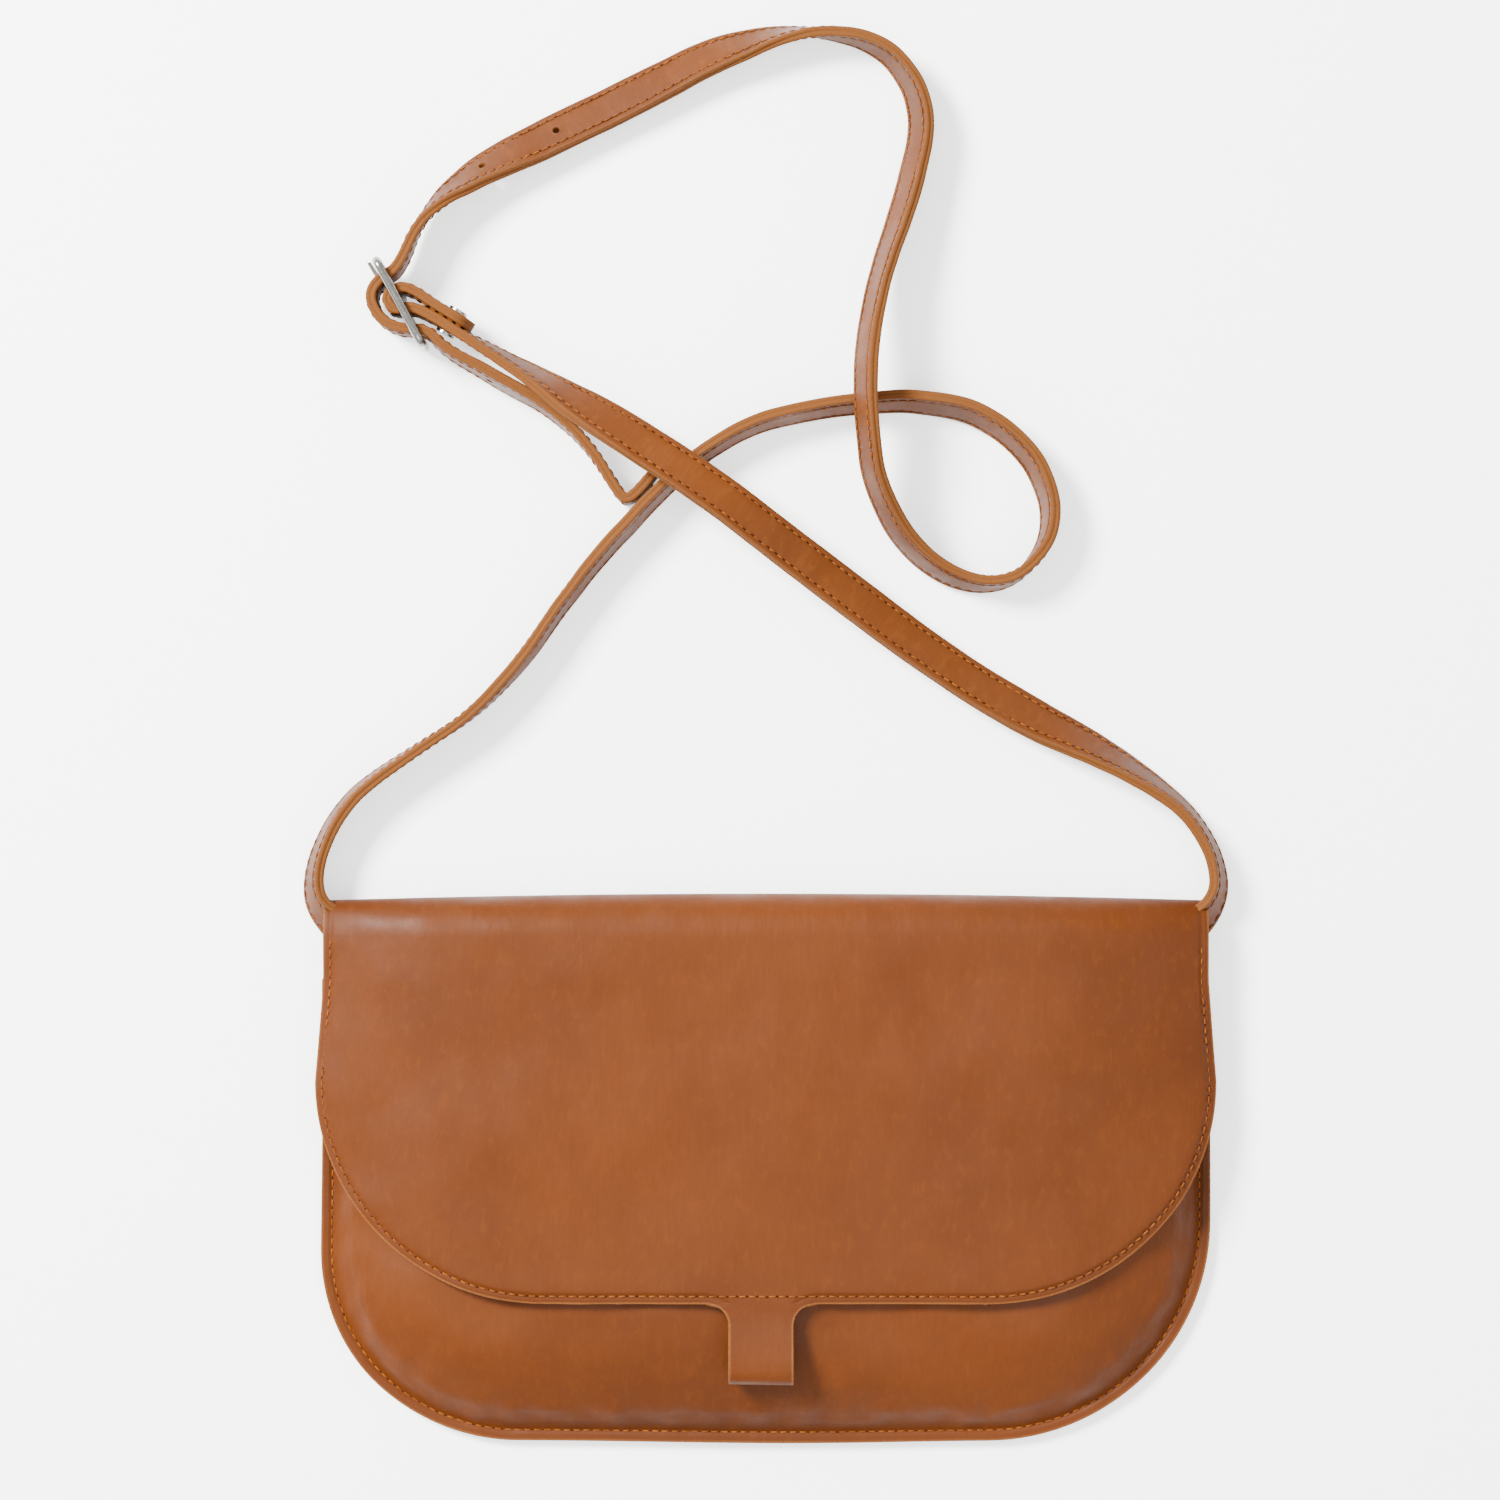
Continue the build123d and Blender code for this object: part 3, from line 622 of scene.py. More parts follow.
def side_reach(v, side):
    """Half width of the hide at a place along it, on the left (-1) or right (1)."""
    if v <= BACK_RUN:
        y = BOTTOM_Y + v
        radius = LEFT_CORNER if side < 0 else RIGHT_CORNER
        drop = max(0.0, BOTTOM_Y + radius - y)
        reach = HALF_WIDTH - radius + math.sqrt(max(radius**2 - drop**2, 0.0))
        return reach - EDGE_TRIM + (FOLD_HALF - HALF_WIDTH) * max(0.0, (y - MOUTH_Y) / (FOLD_Y - MOUTH_Y))
    if v <= FLAP_START:
        return FOLD_HALF - EDGE_TRIM
    y = FOLD_Y - (v - FLAP_START)
    centre_y = FLAP_BOTTOM_Y + FLAP_CORNER[1]
    if y > centre_y:
        blend = min(1.0, max(0.0, (MOUTH_Y - y) / (MOUTH_Y - centre_y)))
        return FOLD_HALF + (FLAP_HALF - FOLD_HALF) * blend - EDGE_TRIM * (1 - blend)
    drop = min(1.0, (centre_y - y) / FLAP_CORNER[1])
    return FLAP_HALF - FLAP_CORNER[0] + FLAP_CORNER[0] * math.sqrt(max(0.0, 1 - drop**2))


def hide_surface(x, v):
    """A point of the hide's outer face, from the distance across and the run along it."""
    crown = 1.1 - 2.2 * (np.abs(x) / 134.0) ** 2.2
    tall = roof(x) / FLAP_TOP
    y = np.where(v <= BACK_RUN, BOTTOM_Y + v, 0.0)
    z = 0.0 * v
    turning = (v > BACK_RUN) & (v <= FLAP_START)
    angle = (v - BACK_RUN) / FOLD_RADIUS - math.pi / 2
    y = np.where(turning, FOLD_Y + (FOLD_RADIUS + crown) * np.cos(angle), y)
    z = np.where(turning, FOLD_RADIUS * (1 + np.sin(angle)) * tall, z)
    top = v > FLAP_START
    front = FOLD_Y - (v - FLAP_START)
    level = 22.0 + np.clip((front + 5) / 77.0, 0, 1)
    y = np.where(top, front, y)
    z = np.where(top, level * tall, z)
    off_snap = 1 - np.exp(-(((x - TAB_X) ** 2 + (front - SNAP_Y) ** 2) / 24**2))
    roll = 0.55 * waves(x, front, 80.0, 21, 2) + 0.28 * waves(x, front * 0.6, 26.0, 22, 2)
    z = z + np.where(top, roll * off_snap * np.clip((v - FLAP_START) / 12, 0, 1), 0)
    off_ends = np.clip((v - BACK_RUN) / 12, 0, 1) * np.clip((FLAP_START - v) / 8, 0, 1)
    z = z + np.where(turning, 0.25 * waves(x, v, 30.0, 24, 2) * off_ends, 0)
    return np.stack([x, y, z], axis=-1)


tab_columns = np.linspace(TAB_X - TAB_REACH, TAB_X + TAB_REACH, 27)
end_reach = FLAP_HALF - FLAP_CORNER[0]
tab_shares = (tab_columns + end_reach) / (2 * end_reach)
rim_shares = [0, 0.0025, 0.006, 0.011, 0.017, 0.024]
left_shares = np.concatenate([rim_shares, np.linspace(0.033, tab_shares[0], 40)[:-1]])
right_shares = 1 - np.concatenate([rim_shares, np.linspace(0.033, 1 - tab_shares[-1], 40)[:-1]])[::-1]
shares = np.concatenate([left_shares, tab_shares, right_shares])
tab_from = len(left_shares)
tab_to = tab_from + len(tab_shares)

back_steps = np.linspace(0, 1, 58) ** 1.6 * BACK_RUN
fold_steps = BACK_RUN + np.linspace(0, 1, 27)[1:] * FOLD_RUN
flap_steps = FLAP_END - (1 - np.linspace(0, 1, 62)[1:]) ** 1.7 * (FLAP_END - FLAP_START)
runs = np.concatenate([back_steps, fold_steps, flap_steps])


def hide_grid(take_in=0.0, flap_take_in=0.0):
    """Outer face of the hide as a grid, its border taken in by one amount on the back and one on the flap."""
    rows = []
    for v in runs:
        inside = take_in + (flap_take_in - take_in) * min(1.0, max(0.0, v - BACK_RUN) / 14)
        low = max(v, inside)
        left = side_reach(low, -1) - inside
        right = side_reach(low, 1) - inside
        x = -left + (left + right) * shares
        rows.append(hide_surface(x, np.full(len(x), low)))
    return rows


def with_wander(points, runs_at):
    """The back's edge follows the same wandering line as the front's."""
    x, y, z = points.T
    on_back = runs_at <= BACK_RUN
    wander = side_wander(x, y)
    moved_x = x - np.sign(x) * side_share(x) * on_back * wander
    moved_y = y + bottom_share(y) * on_back * (EDGE_TRIM + wander)
    return np.column_stack([moved_x, moved_y, z])


hide_rows = hide_grid()
hide_points = np.concatenate(hide_rows)
hide_runs = np.repeat(runs, len(shares))
hide_faces = grid_faces(len(runs), len(shares))[:, ::-1]
flat = np.column_stack([hide_points[:, 0], hide_runs])


def loop_rows(start_row):
    """The pull loop's outer face, in rows: on from the flap's lower edge, round its nose and back under the flap."""
    above = [(-38.0, 21.1), (-40.5, 21.12), (-43.5, 21.3), (-47.5, 21.75), (-52.0, 22.15), (-55.5, 22.32)]
    nose = [(-58.6 - 2.9 * math.sin(a), 19.4 + 2.9 * math.cos(a)) for a in np.linspace(0, math.pi, 15)]
    below = [(-55.5, 16.55), (-52.0, 16.95), (-48.0, 17.75), (-45.0, 18.55), (-42.5, 19.1)]
    tail = [(-39.5, 19.3), (-36.0, 19.3), (-33.0, 19.3)]
    middle = np.array(above + nose + below + tail)
    run = run_along(middle)
    root = np.linspace(0, TAB_FILLET, 12)[:-1]
    fine = np.concatenate([root, np.arange(TAB_FILLET, run[-1], 0.9), [run[-1]]])
    y, z = values_at(fine, run, middle).T
    for _ in range(3):
        z[1:-1] = (z[:-2] + 2 * z[1:-1] + z[2:]) / 4
    slope = unit(np.stack([np.gradient(y, fine), np.gradient(z, fine)], axis=1))
    outward = np.stack([slope[:, 1], -slope[:, 0]], axis=1)
    if outward[0, 1] < 0:
        outward = -outward
    rows = []
    for k, place in enumerate(fine):
        drop = min(place, TAB_FILLET)
        half = TAB_REACH - math.sqrt(max(TAB_FILLET**2 - (TAB_FILLET - drop) ** 2, 0.0))
        x = TAB_X + (tab_columns - TAB_X) * half / TAB_REACH
        across = np.clip((x - TAB_X + TAB_HALF) / (2 * TAB_HALF), 0, 1)
        lean = 1.6 * across * min(1.0, max(0.0, place - 3) / 14) * min(1.0, (fine[-1] - place) / 10)
        row_y = y[k] + outward[k, 0] * LEATHER / 2 + 0 * x
        row_z = z[k] + outward[k, 1] * LEATHER / 2 + lean
        rows.append(np.stack([x, row_y, row_z], axis=-1))
    rise = start_row[:, 2] - rows[0][:, 2].mean()
    for place, row in zip(fine[1:], rows[1:]):
        row[:, 2] += rise * max(0.0, 1 - place / 7.0)
    return rows[1:], fine[1:]


loop, loop_runs = loop_rows(hide_rows[-1][tab_from:tab_to])
tab_points = np.concatenate(loop)
all_points = np.concatenate([hide_points, tab_points])
first_row = (len(runs) - 1) * len(shares) + np.arange(tab_from, tab_to)
tab_index = np.concatenate([first_row, len(hide_points) + np.arange(len(tab_points))])
tab_faces = tab_index[grid_faces(len(loop) + 1, len(tab_columns))][:, ::-1]
all_faces = np.concatenate([hide_faces, tab_faces])
tab_flat = np.column_stack([tab_points[:, 0], FLAP_END + np.repeat(loop_runs, len(tab_columns))])
flat = np.concatenate([flat, tab_flat])
all_runs = np.concatenate([hide_runs, np.full(len(tab_points), FLAP_END + 1)])

rim_from, rim_to = free_edges(all_faces).T
outline = np.concatenate([flat[rim_from] * (1 - t) + flat[rim_to] * t for t in (0, 0.25, 0.5, 0.75)])
border = distance_to(flat, outline)
all_points = with_wander(all_points, all_runs)
# The flap's edge turns down a little, except where the loop goes on from it
on_flap = np.clip((all_runs - FLAP_START - 8) / 20, 0, 1) * (all_runs <= FLAP_END)
loop_root = np.exp(-(((all_points[:, 0] - TAB_X) / 15) ** 4) - ((all_points[:, 1] - FLAP_BOTTOM_Y) / 6) ** 2)
all_points[:, 2] -= 0.8 * np.exp(-((border / 2.6) ** 2)) * on_flap * (1 - loop_root)
all_normals = point_normals(all_points, all_faces)
rest = np.column_stack([flat, np.zeros(len(flat))])

is_back = all_runs <= BACK_RUN + 1e-6
joint = np.abs(all_runs - BACK_RUN) < 1e-6
back_faces = all_faces[is_back[all_faces].all(axis=1)]
flap_faces = all_faces[~is_back[all_faces].all(axis=1)]
back = thick_sheet("back", all_points, back_faces, LEATHER, HIDE_POUCH, rest, border, joint, all_normals)
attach(back, "pouch")
sewn = 1 - np.clip((all_runs - FLAP_END + 0.5) / 0.5, 0, 1)
flap = thick_sheet("flap_hide", all_points, flap_faces, LEATHER, HIDE, rest, border, joint, all_normals, sewn)
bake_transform(flap)
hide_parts("flap_outer")
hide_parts("back_panel")

# ---- suede lining
lining_points = np.concatenate(hide_grid(BACK_LINING_INSET, FLAP_LINING_INSET))
lining_faces = grid_faces(len(runs), len(shares))[:, ::-1]
keep = np.linalg.norm(lining_points[lining_faces[:, 0]] - lining_points[lining_faces[:, 2]], axis=1) > 0.05
lining_normals = point_normals(lining_points, lining_faces)
lining_normals[np.linalg.norm(lining_normals, axis=1) < 0.5] = (0, 0, -1)
lining_points = lining_points - lining_normals * (LEATHER + GLUE)
lining_rest = np.column_stack([lining_points[:, 0], hide_runs, np.zeros(len(hide_runs))])
lining_border = np.full(len(hide_runs), 9.0)
lining_keep = keep & (hide_runs[lining_faces].max(axis=1) <= FLAP_END - FLAP_LINING_INSET)
lining_joint = joint[: len(hide_runs)]
behind = is_back[lining_faces].all(axis=1)
for name, wanted, node in (("back_liner", behind, "back_lining"), ("flap_liner", ~behind, "flap_lining")):
    liner = thick_sheet(
        name, lining_points, lining_faces[lining_keep & wanted], LINING, SUEDE, lining_rest, lining_border,
        lining_joint, lining_normals,
    )
    if node == "back_lining":
        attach(liner, "pouch")
    else:
        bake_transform(liner)
    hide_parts(node)

# ---- stitching round the flap
corner_y = FLAP_BOTTOM_Y + FLAP_CORNER[1]
stitch_plan = []
for v in np.arange(FLAP_START + 1.0, FLAP_END - FLAP_CORNER[1], 1.0):
    stitch_plan.append((-(side_reach(v, -1) - FLAP_STITCH), FOLD_Y - (v - FLAP_START)))
half_x = FLAP_CORNER[0] - FLAP_STITCH
half_y = FLAP_CORNER[1] - FLAP_STITCH
centre_x = FLAP_HALF - FLAP_CORNER[0]
for angle in np.linspace(0, math.pi / 2, 90):
    stitch_plan.append((-centre_x - half_x * math.cos(angle), corner_y - half_y * math.sin(angle)))
for x in np.linspace(-centre_x + 1, 0, 60):
    stitch_plan.append((x, FLAP_BOTTOM_Y + FLAP_STITCH))
stitch_plan = np.array(stitch_plan)
stitch_plan = np.concatenate([stitch_plan, (stitch_plan * (-1, 1))[::-1][1:]])
stitch_plan = np.column_stack([stitch_plan, np.zeros(len(stitch_plan))])
centres, along = even_stations(stitch_plan, STITCH_PITCH, 1.5, 1.5)
under_seam = (all_runs > FLAP_START - 1) & (all_runs <= FLAP_END)
centres, flap_normals = lift_to(all_points[under_seam], all_normals[under_seam], centres)
flap_seam = stitch_row("flap_stitches", centres, along, flap_normals, seed=4)
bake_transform(flap_seam)


# ---- strap
# Route points: x, y, z, and how far the strap's upper edge leans to the left of its direction, in degrees
LONG_ROUTE = (
    (-116.0, 68.0, 8.2, -84), (-125.0, 71.5, 7.8, -62), (-131.6, 75.5, 6.4, -42), (-136.6, 81.5, 6.8, -26),
    (-137.8, 89.0, 7.0, -21), (-134.8, 100.0, 6.9, -17), (-126.0, 114.5, 6.9, -12),
    (-107.0, 127.5, 6.9, -6), (-88.0, 139.5, 6.9, 0), (-73.0, 156.0, 6.9, 6), (-59.0, 176.5, 6.9, 9),
    (-42.0, 196.5, 6.9, 10), (-23.0, 215.5, 6.9, 10), (-4.0, 227.5, 6.9, 10), (20.0, 232.5, 6.9, 13),
    (47.0, 234.5, 6.9, 16), (68.0, 229.5, 6.9, 18), (84.5, 213.0, 6.9, 17), (87.5, 193.5, 6.9, 9),
    (75.5, 178.0, 6.9, -5), (56.5, 179.0, 6.9, -17), (41.0, 192.0, 10.4, -20), (32.5, 209.0, 16.8, -20),
    (30.2, 224.5, 20.8, -20), (29.6, 245.0, 20.8, -20), (33.5, 269.0, 13.2, -22), (43.0, 296.0, 7.4, -26),
    (49.0, 322.0, 6.9, -24), (38.0, 341.5, 6.9, -12), (15.0, 347.5, 6.9, 8), (-12.0, 341.5, 5.6, 52),
    (-40.0, 327.0, 4.8, 66), (-68.0, 313.5, 4.9, 64), (-92.0, 301.5, 6.6, 40), (-105.5, 288.0, 9.5, 4),
    (-110.54, 273.84, 9.7, 0), (-116.54, 270.24, 9.7, 0), (-119.81, 264.93, 9.7, 0), (-117.0, 258.5, 9.7, 0),
    (-110.7, 254.86, 9.7, 0), (-102.03, 255.24, 9.7, 0), (-97.08, 249.06, 9.4, 3), (-81.5, 240.5, 8.0, 8),
    (-66.0, 232.0, 6.9, 6), (-54.5, 221.5, 6.9, 2), (-47.0, 210.0, 6.9, 0), (-42.8, 203.4, 6.9, 0),
    (-40.0, 205.0, 6.9, 0), (-36.2, 209.2, 6.9, 0), (-32.6, 213.5, 6.9, 0),
)
SHORT_ROUTE = (
    (116.0, 68.0, 8.2, 84), (125.0, 71.5, 7.8, 62), (131.6, 75.5, 6.4, 42), (136.6, 81.5, 6.8, 25),
    (138.0, 89.0, 7.0, 20), (134.8, 100.0, 6.9, 16), (126.0, 112.0, 6.9, 14),
    (104.0, 126.5, 6.4, 36), (77.0, 139.5, 4.8, 66), (51.0, 156.0, 6.4, 70), (26.0, 174.5, 10.8, 71),
    (4.0, 191.0, 15.0, 71), (-12.5, 203.8, 17.6, 70), (-33.5, 218.0, 17.8, 68), (-52.0, 229.5, 15.6, 56),
    (-70.5, 241.5, 10.6, 24), (-92.6, 254.22, 9.7, 3), (-100.45, 258.83, 9.7, 0), (-107.09, 262.05, 9.7, 0),
    (-112.36, 260.22, 9.7, 0), (-115.12, 265.32, 9.7, 0), (-110.03, 268.08, 9.7, 0), (-105.58, 266.4, 9.7, 0),
    (-100.13, 262.42, 9.7, 0), (-94.28, 259.0, 9.7, 0), (-88.8, 255.6, 9.7, 0),
)


def centreline(name, route):
    """The strap's centreline: a smooth curve drawn to the route's points, read back as points in mm."""
    curve = bpy.data.curves.new(name, "CURVE")
    curve.dimensions = "3D"
    curve.resolution_u = 16
    spline = curve.splines.new("NURBS")
    spline.points.add(len(route) - 1)
    for point, (x, y, z, _) in zip(spline.points, route):
        point.co = (x * MM, y * MM, z * MM, 1.0)
    spline.order_u = 3
    spline.use_endpoint_u = True
    drawn = bpy.data.objects.new(name, curve)
    bpy.context.collection.objects.link(drawn)
    bpy.context.view_layer.update()
    mesh = bpy.data.meshes.new_from_object(drawn)
    points = np.empty(len(mesh.vertices) * 3)
    mesh.vertices.foreach_get("co", points)
    bpy.data.objects.remove(drawn)
    return points.reshape(-1, 3) / MM


def strap_frames(points, route, step=1.25):
    """Evenly spaced stations along the strap, with its direction, face direction and width direction."""
    run = run_along(points)
    places = np.linspace(0, run[-1], int(run[-1] / step) + 1)
    line = values_at(places, run, points)
    along = np.gradient(line, axis=0)
    for _ in range(2):
        along[1:-1] = (along[:-2] + 2 * along[1:-1] + along[2:]) / 4
    along = unit(along)
    near, last = [], 0
    for x, y, z, _ in route:
        gap = np.linalg.norm(line - (x, y, z), axis=1)
        window = slice(last, min(len(line), last + int(45 / step)))
        last = last + int(np.argmin(gap[window]))
        near.append(places[last])
    near[-1] = places[-1]
    lean = np.interp(places, near, [row[3] for row in route])
    width = int(14 / step)
    taper = np.hanning(2 * width + 1)
    lean = np.radians(np.convolve(np.pad(lean, width, mode="edge"), taper / taper.sum(), mode="valid"))
    left = unit(np.cross((0, 0, 1.0), along))
    up = np.cross(along, left)
    across = up * np.cos(lean)[:, None] + left * np.sin(lean)[:, None]
    face = np.cross(across, along)
    return places, line, along, face, across


def strap_section():
    """The strap's section as points round it: across the thickness, across the width, and 1 on a cut edge."""
    half = STRAP_WIDTH / 2
    # One face, from its cut edge over the pressed-in row of stitches to the middle, and then mirrored
    side = [
        (0.9, half, 1), (1.36, half - 0.16, 1), (1.5, half - 0.42, 0), (1.52, half - 1.1, 0), (1.44, half - 1.7, 0),
        (1.4, half - STRAP_STITCH, 0), (1.44, half - 2.3, 0), (1.53, half - 3.0, 0), (1.56, 2.2, 0), (1.56, 0.0, 0),
    ]
    side += [(a, -b, cut) for a, b, cut in side[-2::-1]]
    other_side = [(-a, b, cut) for a, b, cut in side[::-1]]
    low_groove = [(0.28, -half, 1), (0.0, -half + 0.3, 1), (-0.28, -half, 1)]
    high_groove = [(-0.28, half, 1), (0.0, half - 0.3, 1)]
    return np.array([(0.28, half, 1)] + side + low_groove + other_side + high_groove, dtype=float)


def strap_mesh(name, frames, seed, holes_at=()):
    """The strap's body: two plies pressed together, a groove between them along both cut edges, a rounded end."""
    places, line, along, face, across = frames
    section = strap_section()
    count = len(section)
    rest, points = [], []
    for k, place in enumerate(places):
        to_end = min(places[-1] - place, STRAP_END_RADIUS)
        shrink = max(math.sqrt(max(0.0, 1 - (1 - to_end / STRAP_END_RADIUS) ** 2)), 0.12)
        wobble = 0.12 * waves(np.array([place]), np.array([seed * 40.0]), 23.0, seed, 2)[0]
        a = section[:, 0] * (1 + 0.05 * math.sin(place / 9.0 + seed))
        b = section[:, 1] * shrink * (1 + 0.012 * math.sin(place / 13.0))
        points.append(line[k] + face[k] * (a + wobble)[:, None] + across[k] * b[:, None])
        rest.append(np.column_stack([np.full(count, place), section[:, 1] + 40 * seed, section[:, 0] * 2]))
    points = np.array(points)
    # Round each hole, the grid's eight nearest points move onto a circle, and the four faces inside go
    middle_columns = np.flatnonzero((np.abs(section[:, 1]) < 0.01) & (np.abs(section[:, 0]) > 1))
    cleared = set()
    for k in holes_at:
        for j in middle_columns:
            middle = points[k, j].copy()
            for dk, dj in ((-1, -1), (-1, 0), (-1, 1), (0, -1), (0, 1), (1, -1), (1, 0), (1, 1)):
                heading = math.atan2(np.sign(section[j + dj, 1]) if dj else 0.0, dk)
                towards = along[k] * math.cos(heading) + across[k] * math.sin(heading)
                points[k + dk, j + dj] = middle + towards * HOLE_LIP
            cleared.update(((k - 1, j - 1), (k - 1, j), (k, j - 1), (k, j)))
    solid = [(r, c) not in cleared for r in range(len(places) - 1) for c in range(count - 1)]
    faces = grid_faces(len(places), count)[np.array(solid)]
    faces = np.concatenate([faces, closing_faces(len(places), count)])[:, ::-1].tolist()
    faces.append(tuple(range(count)))
    faces.append(tuple(range((len(places) - 1) * count, len(places) * count))[::-1])
    piece = make_object(
        name, np.concatenate(points), faces, [STRAP],
        cut=np.tile(section[:, 2], len(places)),
        rest=np.concatenate(rest) * MM,
        border=np.tile(STRAP_WIDTH / 2 - np.abs(section[:, 1]), len(places)),
    )
    for end_face in (-1, -2):
        piece.data.polygons[len(faces) + end_face].use_smooth = False
    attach(piece, "pouch")
    return piece


def strap_stitches(name, frames, seed):
    """A row of stitches along both edges, on both faces."""
    places = frames[0]
    at = np.arange(4.0, places[-1] - 3.0, STITCH_PITCH)
    line, along, face, across = (values_at(at, places, values) for values in frames[1:])
    centres, normals = [], []
    for side in (-1, 1):
        for row in (-1, 1):
            centres.append(line + face * side * 1.5 + across * row * (STRAP_WIDTH / 2 - STRAP_STITCH))
            normals.append(face * side)
    directions = np.concatenate([along] * len(centres))
    rows = stitch_row(name, np.concatenate(centres), directions, np.concatenate(normals), radius=0.24, seed=seed)
    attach(rows, "pouch")
    return rows


def hole_stations(frames, steps):
    """Stations of the strap's holes, a pitch apart, on both sides of the one that the tongue is in."""
    places, line = frames[:2]
    middle = int(np.argmin(np.linalg.norm(line - TONGUE_HOLE, axis=1)))
    return [int(np.searchsorted(places, places[middle] + step * HOLE_PITCH)) for step in steps]


def punched_holes(name, frames, stations):
    """Round holes through the strap: a darker bore inside a pressed lip on both faces."""
    places, line, along, face, across = frames
    points, faces, slots = [], [], []
    first = 0
    spokes = 24
    angles = np.arange(spokes) * 2 * math.pi / spokes
    lip = [(1.8, 1.5), (1.62, 1.64), (1.36, 1.66), (1.12, 1.6), (HOLE_RADIUS, 1.4)]
    rings = lip + [(radius, -lift) for radius, lift in lip[::-1]]
    for k in stations:
        circle = along[k] * np.cos(angles)[:, None] + across[k] * np.sin(angles)[:, None]
        for radius, lift in rings:
            points.append(line[k] + face[k] * lift + circle * radius)
        for ring in range(len(rings) - 1):
            low = first + ring * spokes
            for s in range(spokes):
                t = (s + 1) % spokes
                faces.append((low + s, low + spokes + s, low + spokes + t, low + t))
                slots.append(1 if ring in (3, 4, 5) else 0)
        first += len(rings) * spokes
    bore = plain("bore", linear(84, 46, 20), 0.95)
    points = np.concatenate(points)
    piece = make_object(name, points, faces, [STRAP, bore], slots, rest=points * MM, border=np.full(first, 4.0))
    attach(piece, "pouch")
    return piece


long_points = centreline("long_line", LONG_ROUTE)
long_frames = strap_frames(long_points, LONG_ROUTE)
stations = hole_stations(long_frames, (-3, -2, -1, 1, 2))
long_strap = strap_mesh("long_strap", long_frames, 1, stations)
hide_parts("long_strap_face", "long_strap_backing")
long_stitches = strap_stitches("long_strap_stitches", long_frames, 7)
holes = punched_holes("strap_holes", long_frames, stations)

short_points = centreline("short_line", SHORT_ROUTE)
short_frames = strap_frames(short_points, SHORT_ROUTE)
short_strap = strap_mesh("short_strap", short_frames, 2)
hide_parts("short_strap_face", "short_strap_backing")
short_stitches = strap_stitches("short_strap_stitches", short_frames, 8)

long_length = long_frames[0][-1] * MM
short_length = short_frames[0][-1] * MM
print(f"long strap {long_length:.4f} m, short strap {short_length:.4f} m")
STRAP_METAL = ("buckle_frame", "buckle_centre_bar", "buckle_tongue", "strap_rivet", "rivet_cap")
SNAP_METAL = ("snap_socket", "socket_washer", "snap_plug", "plug_washer")

# ---- strap ends, turned up from the lining to meet the straps
def strap_end(name, sign):
    """The sewn end of a strap: flat on the back lining, and turned up at its outer end."""
    profile = [(x, 5.6) for x in (110.0, 114.0, 119.0, 124.0, 128.0)]
    profile += [(128.0 + 7.0 * math.sin(a), 12.6 - 7.0 * math.cos(a)) for a in np.linspace(0.05, 0.6, 8)]
    half = [6.5, 6.3, 5.8, 4.8, 4.5, 4.2, 2.0]
    widths = np.array([-w for w in half] + [0.0] + half[::-1])
    points = []
    for k, (x, z) in enumerate(profile):
        narrow = 0.75 if k == 0 else 1.0
        points.append([(sign * x, STRAP_END_Y + w * narrow, z + 0.05 * math.sin(w)) for w in widths])
    points = np.concatenate(points)
    faces = grid_faces(len(profile), len(widths))
    if point_normals(points, faces)[0, 2] < 0:
        faces = faces[:, ::-1]
    border = np.tile(STRAP_WIDTH / 2 - np.abs(widths), len(profile))
    return thick_sheet(name, points, faces, STRAP_END_THICK, STRAP, points + (0, 900, 0), border)


def strap_end_seam(name, sign):
    """Three sides of a box of stitches through a strap's end."""
    lengthways = np.arange(113.5, 128.0, 3.0)
    box = [(112.0, y) for y in np.arange(61.5, 70.5, 3.0)]
    box += [(x, y) for y in (STRAP_END_Y + 4.5, STRAP_END_Y - 4.5) for x in lengthways]
    centres = np.array([(sign * x, y, 5.62) for x, y in box])
    along = np.array([(0, 1.0, 0)] * 3 + [(1.0, 0, 0)] * (len(box) - 3))
    return stitch_row(name, centres, along, np.tile((0, 0, 1.0), (len(box), 1)), seed=20 + sign)


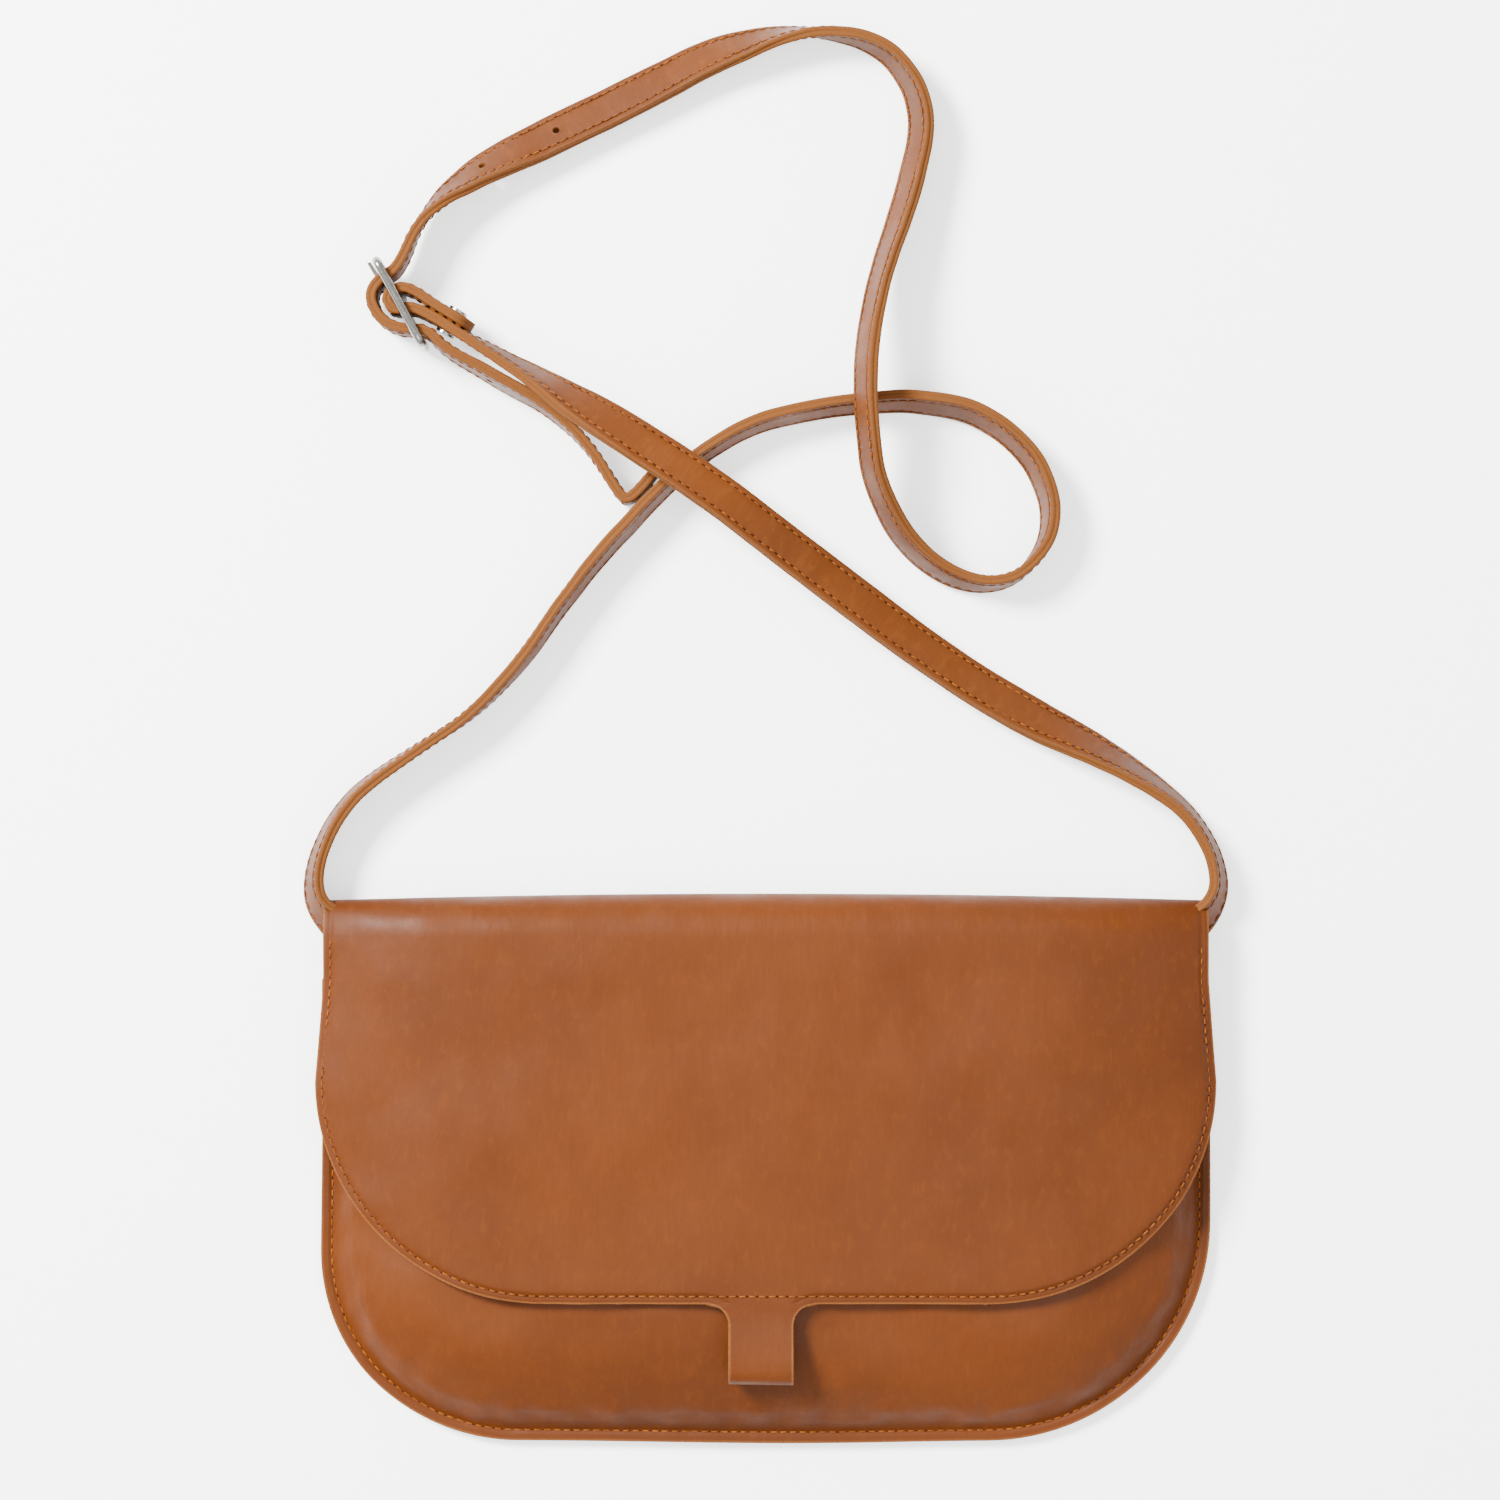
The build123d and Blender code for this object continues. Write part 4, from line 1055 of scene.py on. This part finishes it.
for name, sign, node in (("strap_end_left", -1, "left_strap_end"), ("strap_end_right", 1, "right_strap_end")):
    end = strap_end(name, sign)
    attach(end, "pouch")
    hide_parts(node)
    end_seam = strap_end_seam(f"{name}_stitches", sign)
    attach(end_seam, "pouch")
    if sign > 0:
        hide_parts("strap_end_stitches")

# ---- metal
for name in STRAP_METAL + SNAP_METAL:
    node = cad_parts[name]
    node.data.materials.clear()
    node.data.materials.append(NICKEL)

# ---- table, light and camera
paper = Nodes("paper")
place = paper.tree.nodes.new("ShaderNodeTexCoord").outputs["Object"]
fleck = paper.remap(paper.noise(place, 300.0, 4.0), 0.3, 0.7)
paper.set("Base Color", paper.mix(fleck, (0.90, 0.90, 0.90, 1), (0.915, 0.915, 0.913, 1)))
paper.set("Roughness", 0.9)
paper.set("Specular IOR Level", 0.1)
paper.set("Emission Color", (1, 1, 1, 1))
paper.set("Emission Strength", 1.0)
bpy.ops.mesh.primitive_plane_add(size=6, location=(0, 0, -0.0004))
table = bpy.context.object
table.name = "table"
table.data.materials.append(paper.material)


def softbox(name, place, size, power, colour=(1, 1, 1)):
    """A square area light aimed at the purse."""
    lamp = bpy.data.lights.new(name, "AREA")
    lamp.size = size
    lamp.energy = power
    lamp.color = colour
    holder = bpy.data.objects.new(name, lamp)
    holder.location = place
    holder.rotation_euler = (Vector((0, 0.1, 0)) - Vector(place)).to_track_quat("-Z", "Y").to_euler()
    bpy.context.collection.objects.link(holder)


softbox("key", (-1.1, 0.9, 1.3), 0.55, 195.0, (1.0, 0.99, 0.97))
softbox("fill", (0.5, -0.4, 1.8), 1.8, 34.0)
world = bpy.data.worlds.new("studio")
bpy.context.scene.world = world
world.use_nodes = True
world.node_tree.nodes["Background"].inputs["Color"].default_value = (1, 1, 1, 1)
world.node_tree.nodes["Background"].inputs["Strength"].default_value = 1.7

lens = bpy.data.cameras.new("photo")
lens.lens = 85.0
lens.sensor_width = 36.0
camera = bpy.data.objects.new("photo", lens)
camera.location = (-0.0048, 0.128, 1.0825)
bpy.context.collection.objects.link(camera)
bpy.context.scene.camera = camera
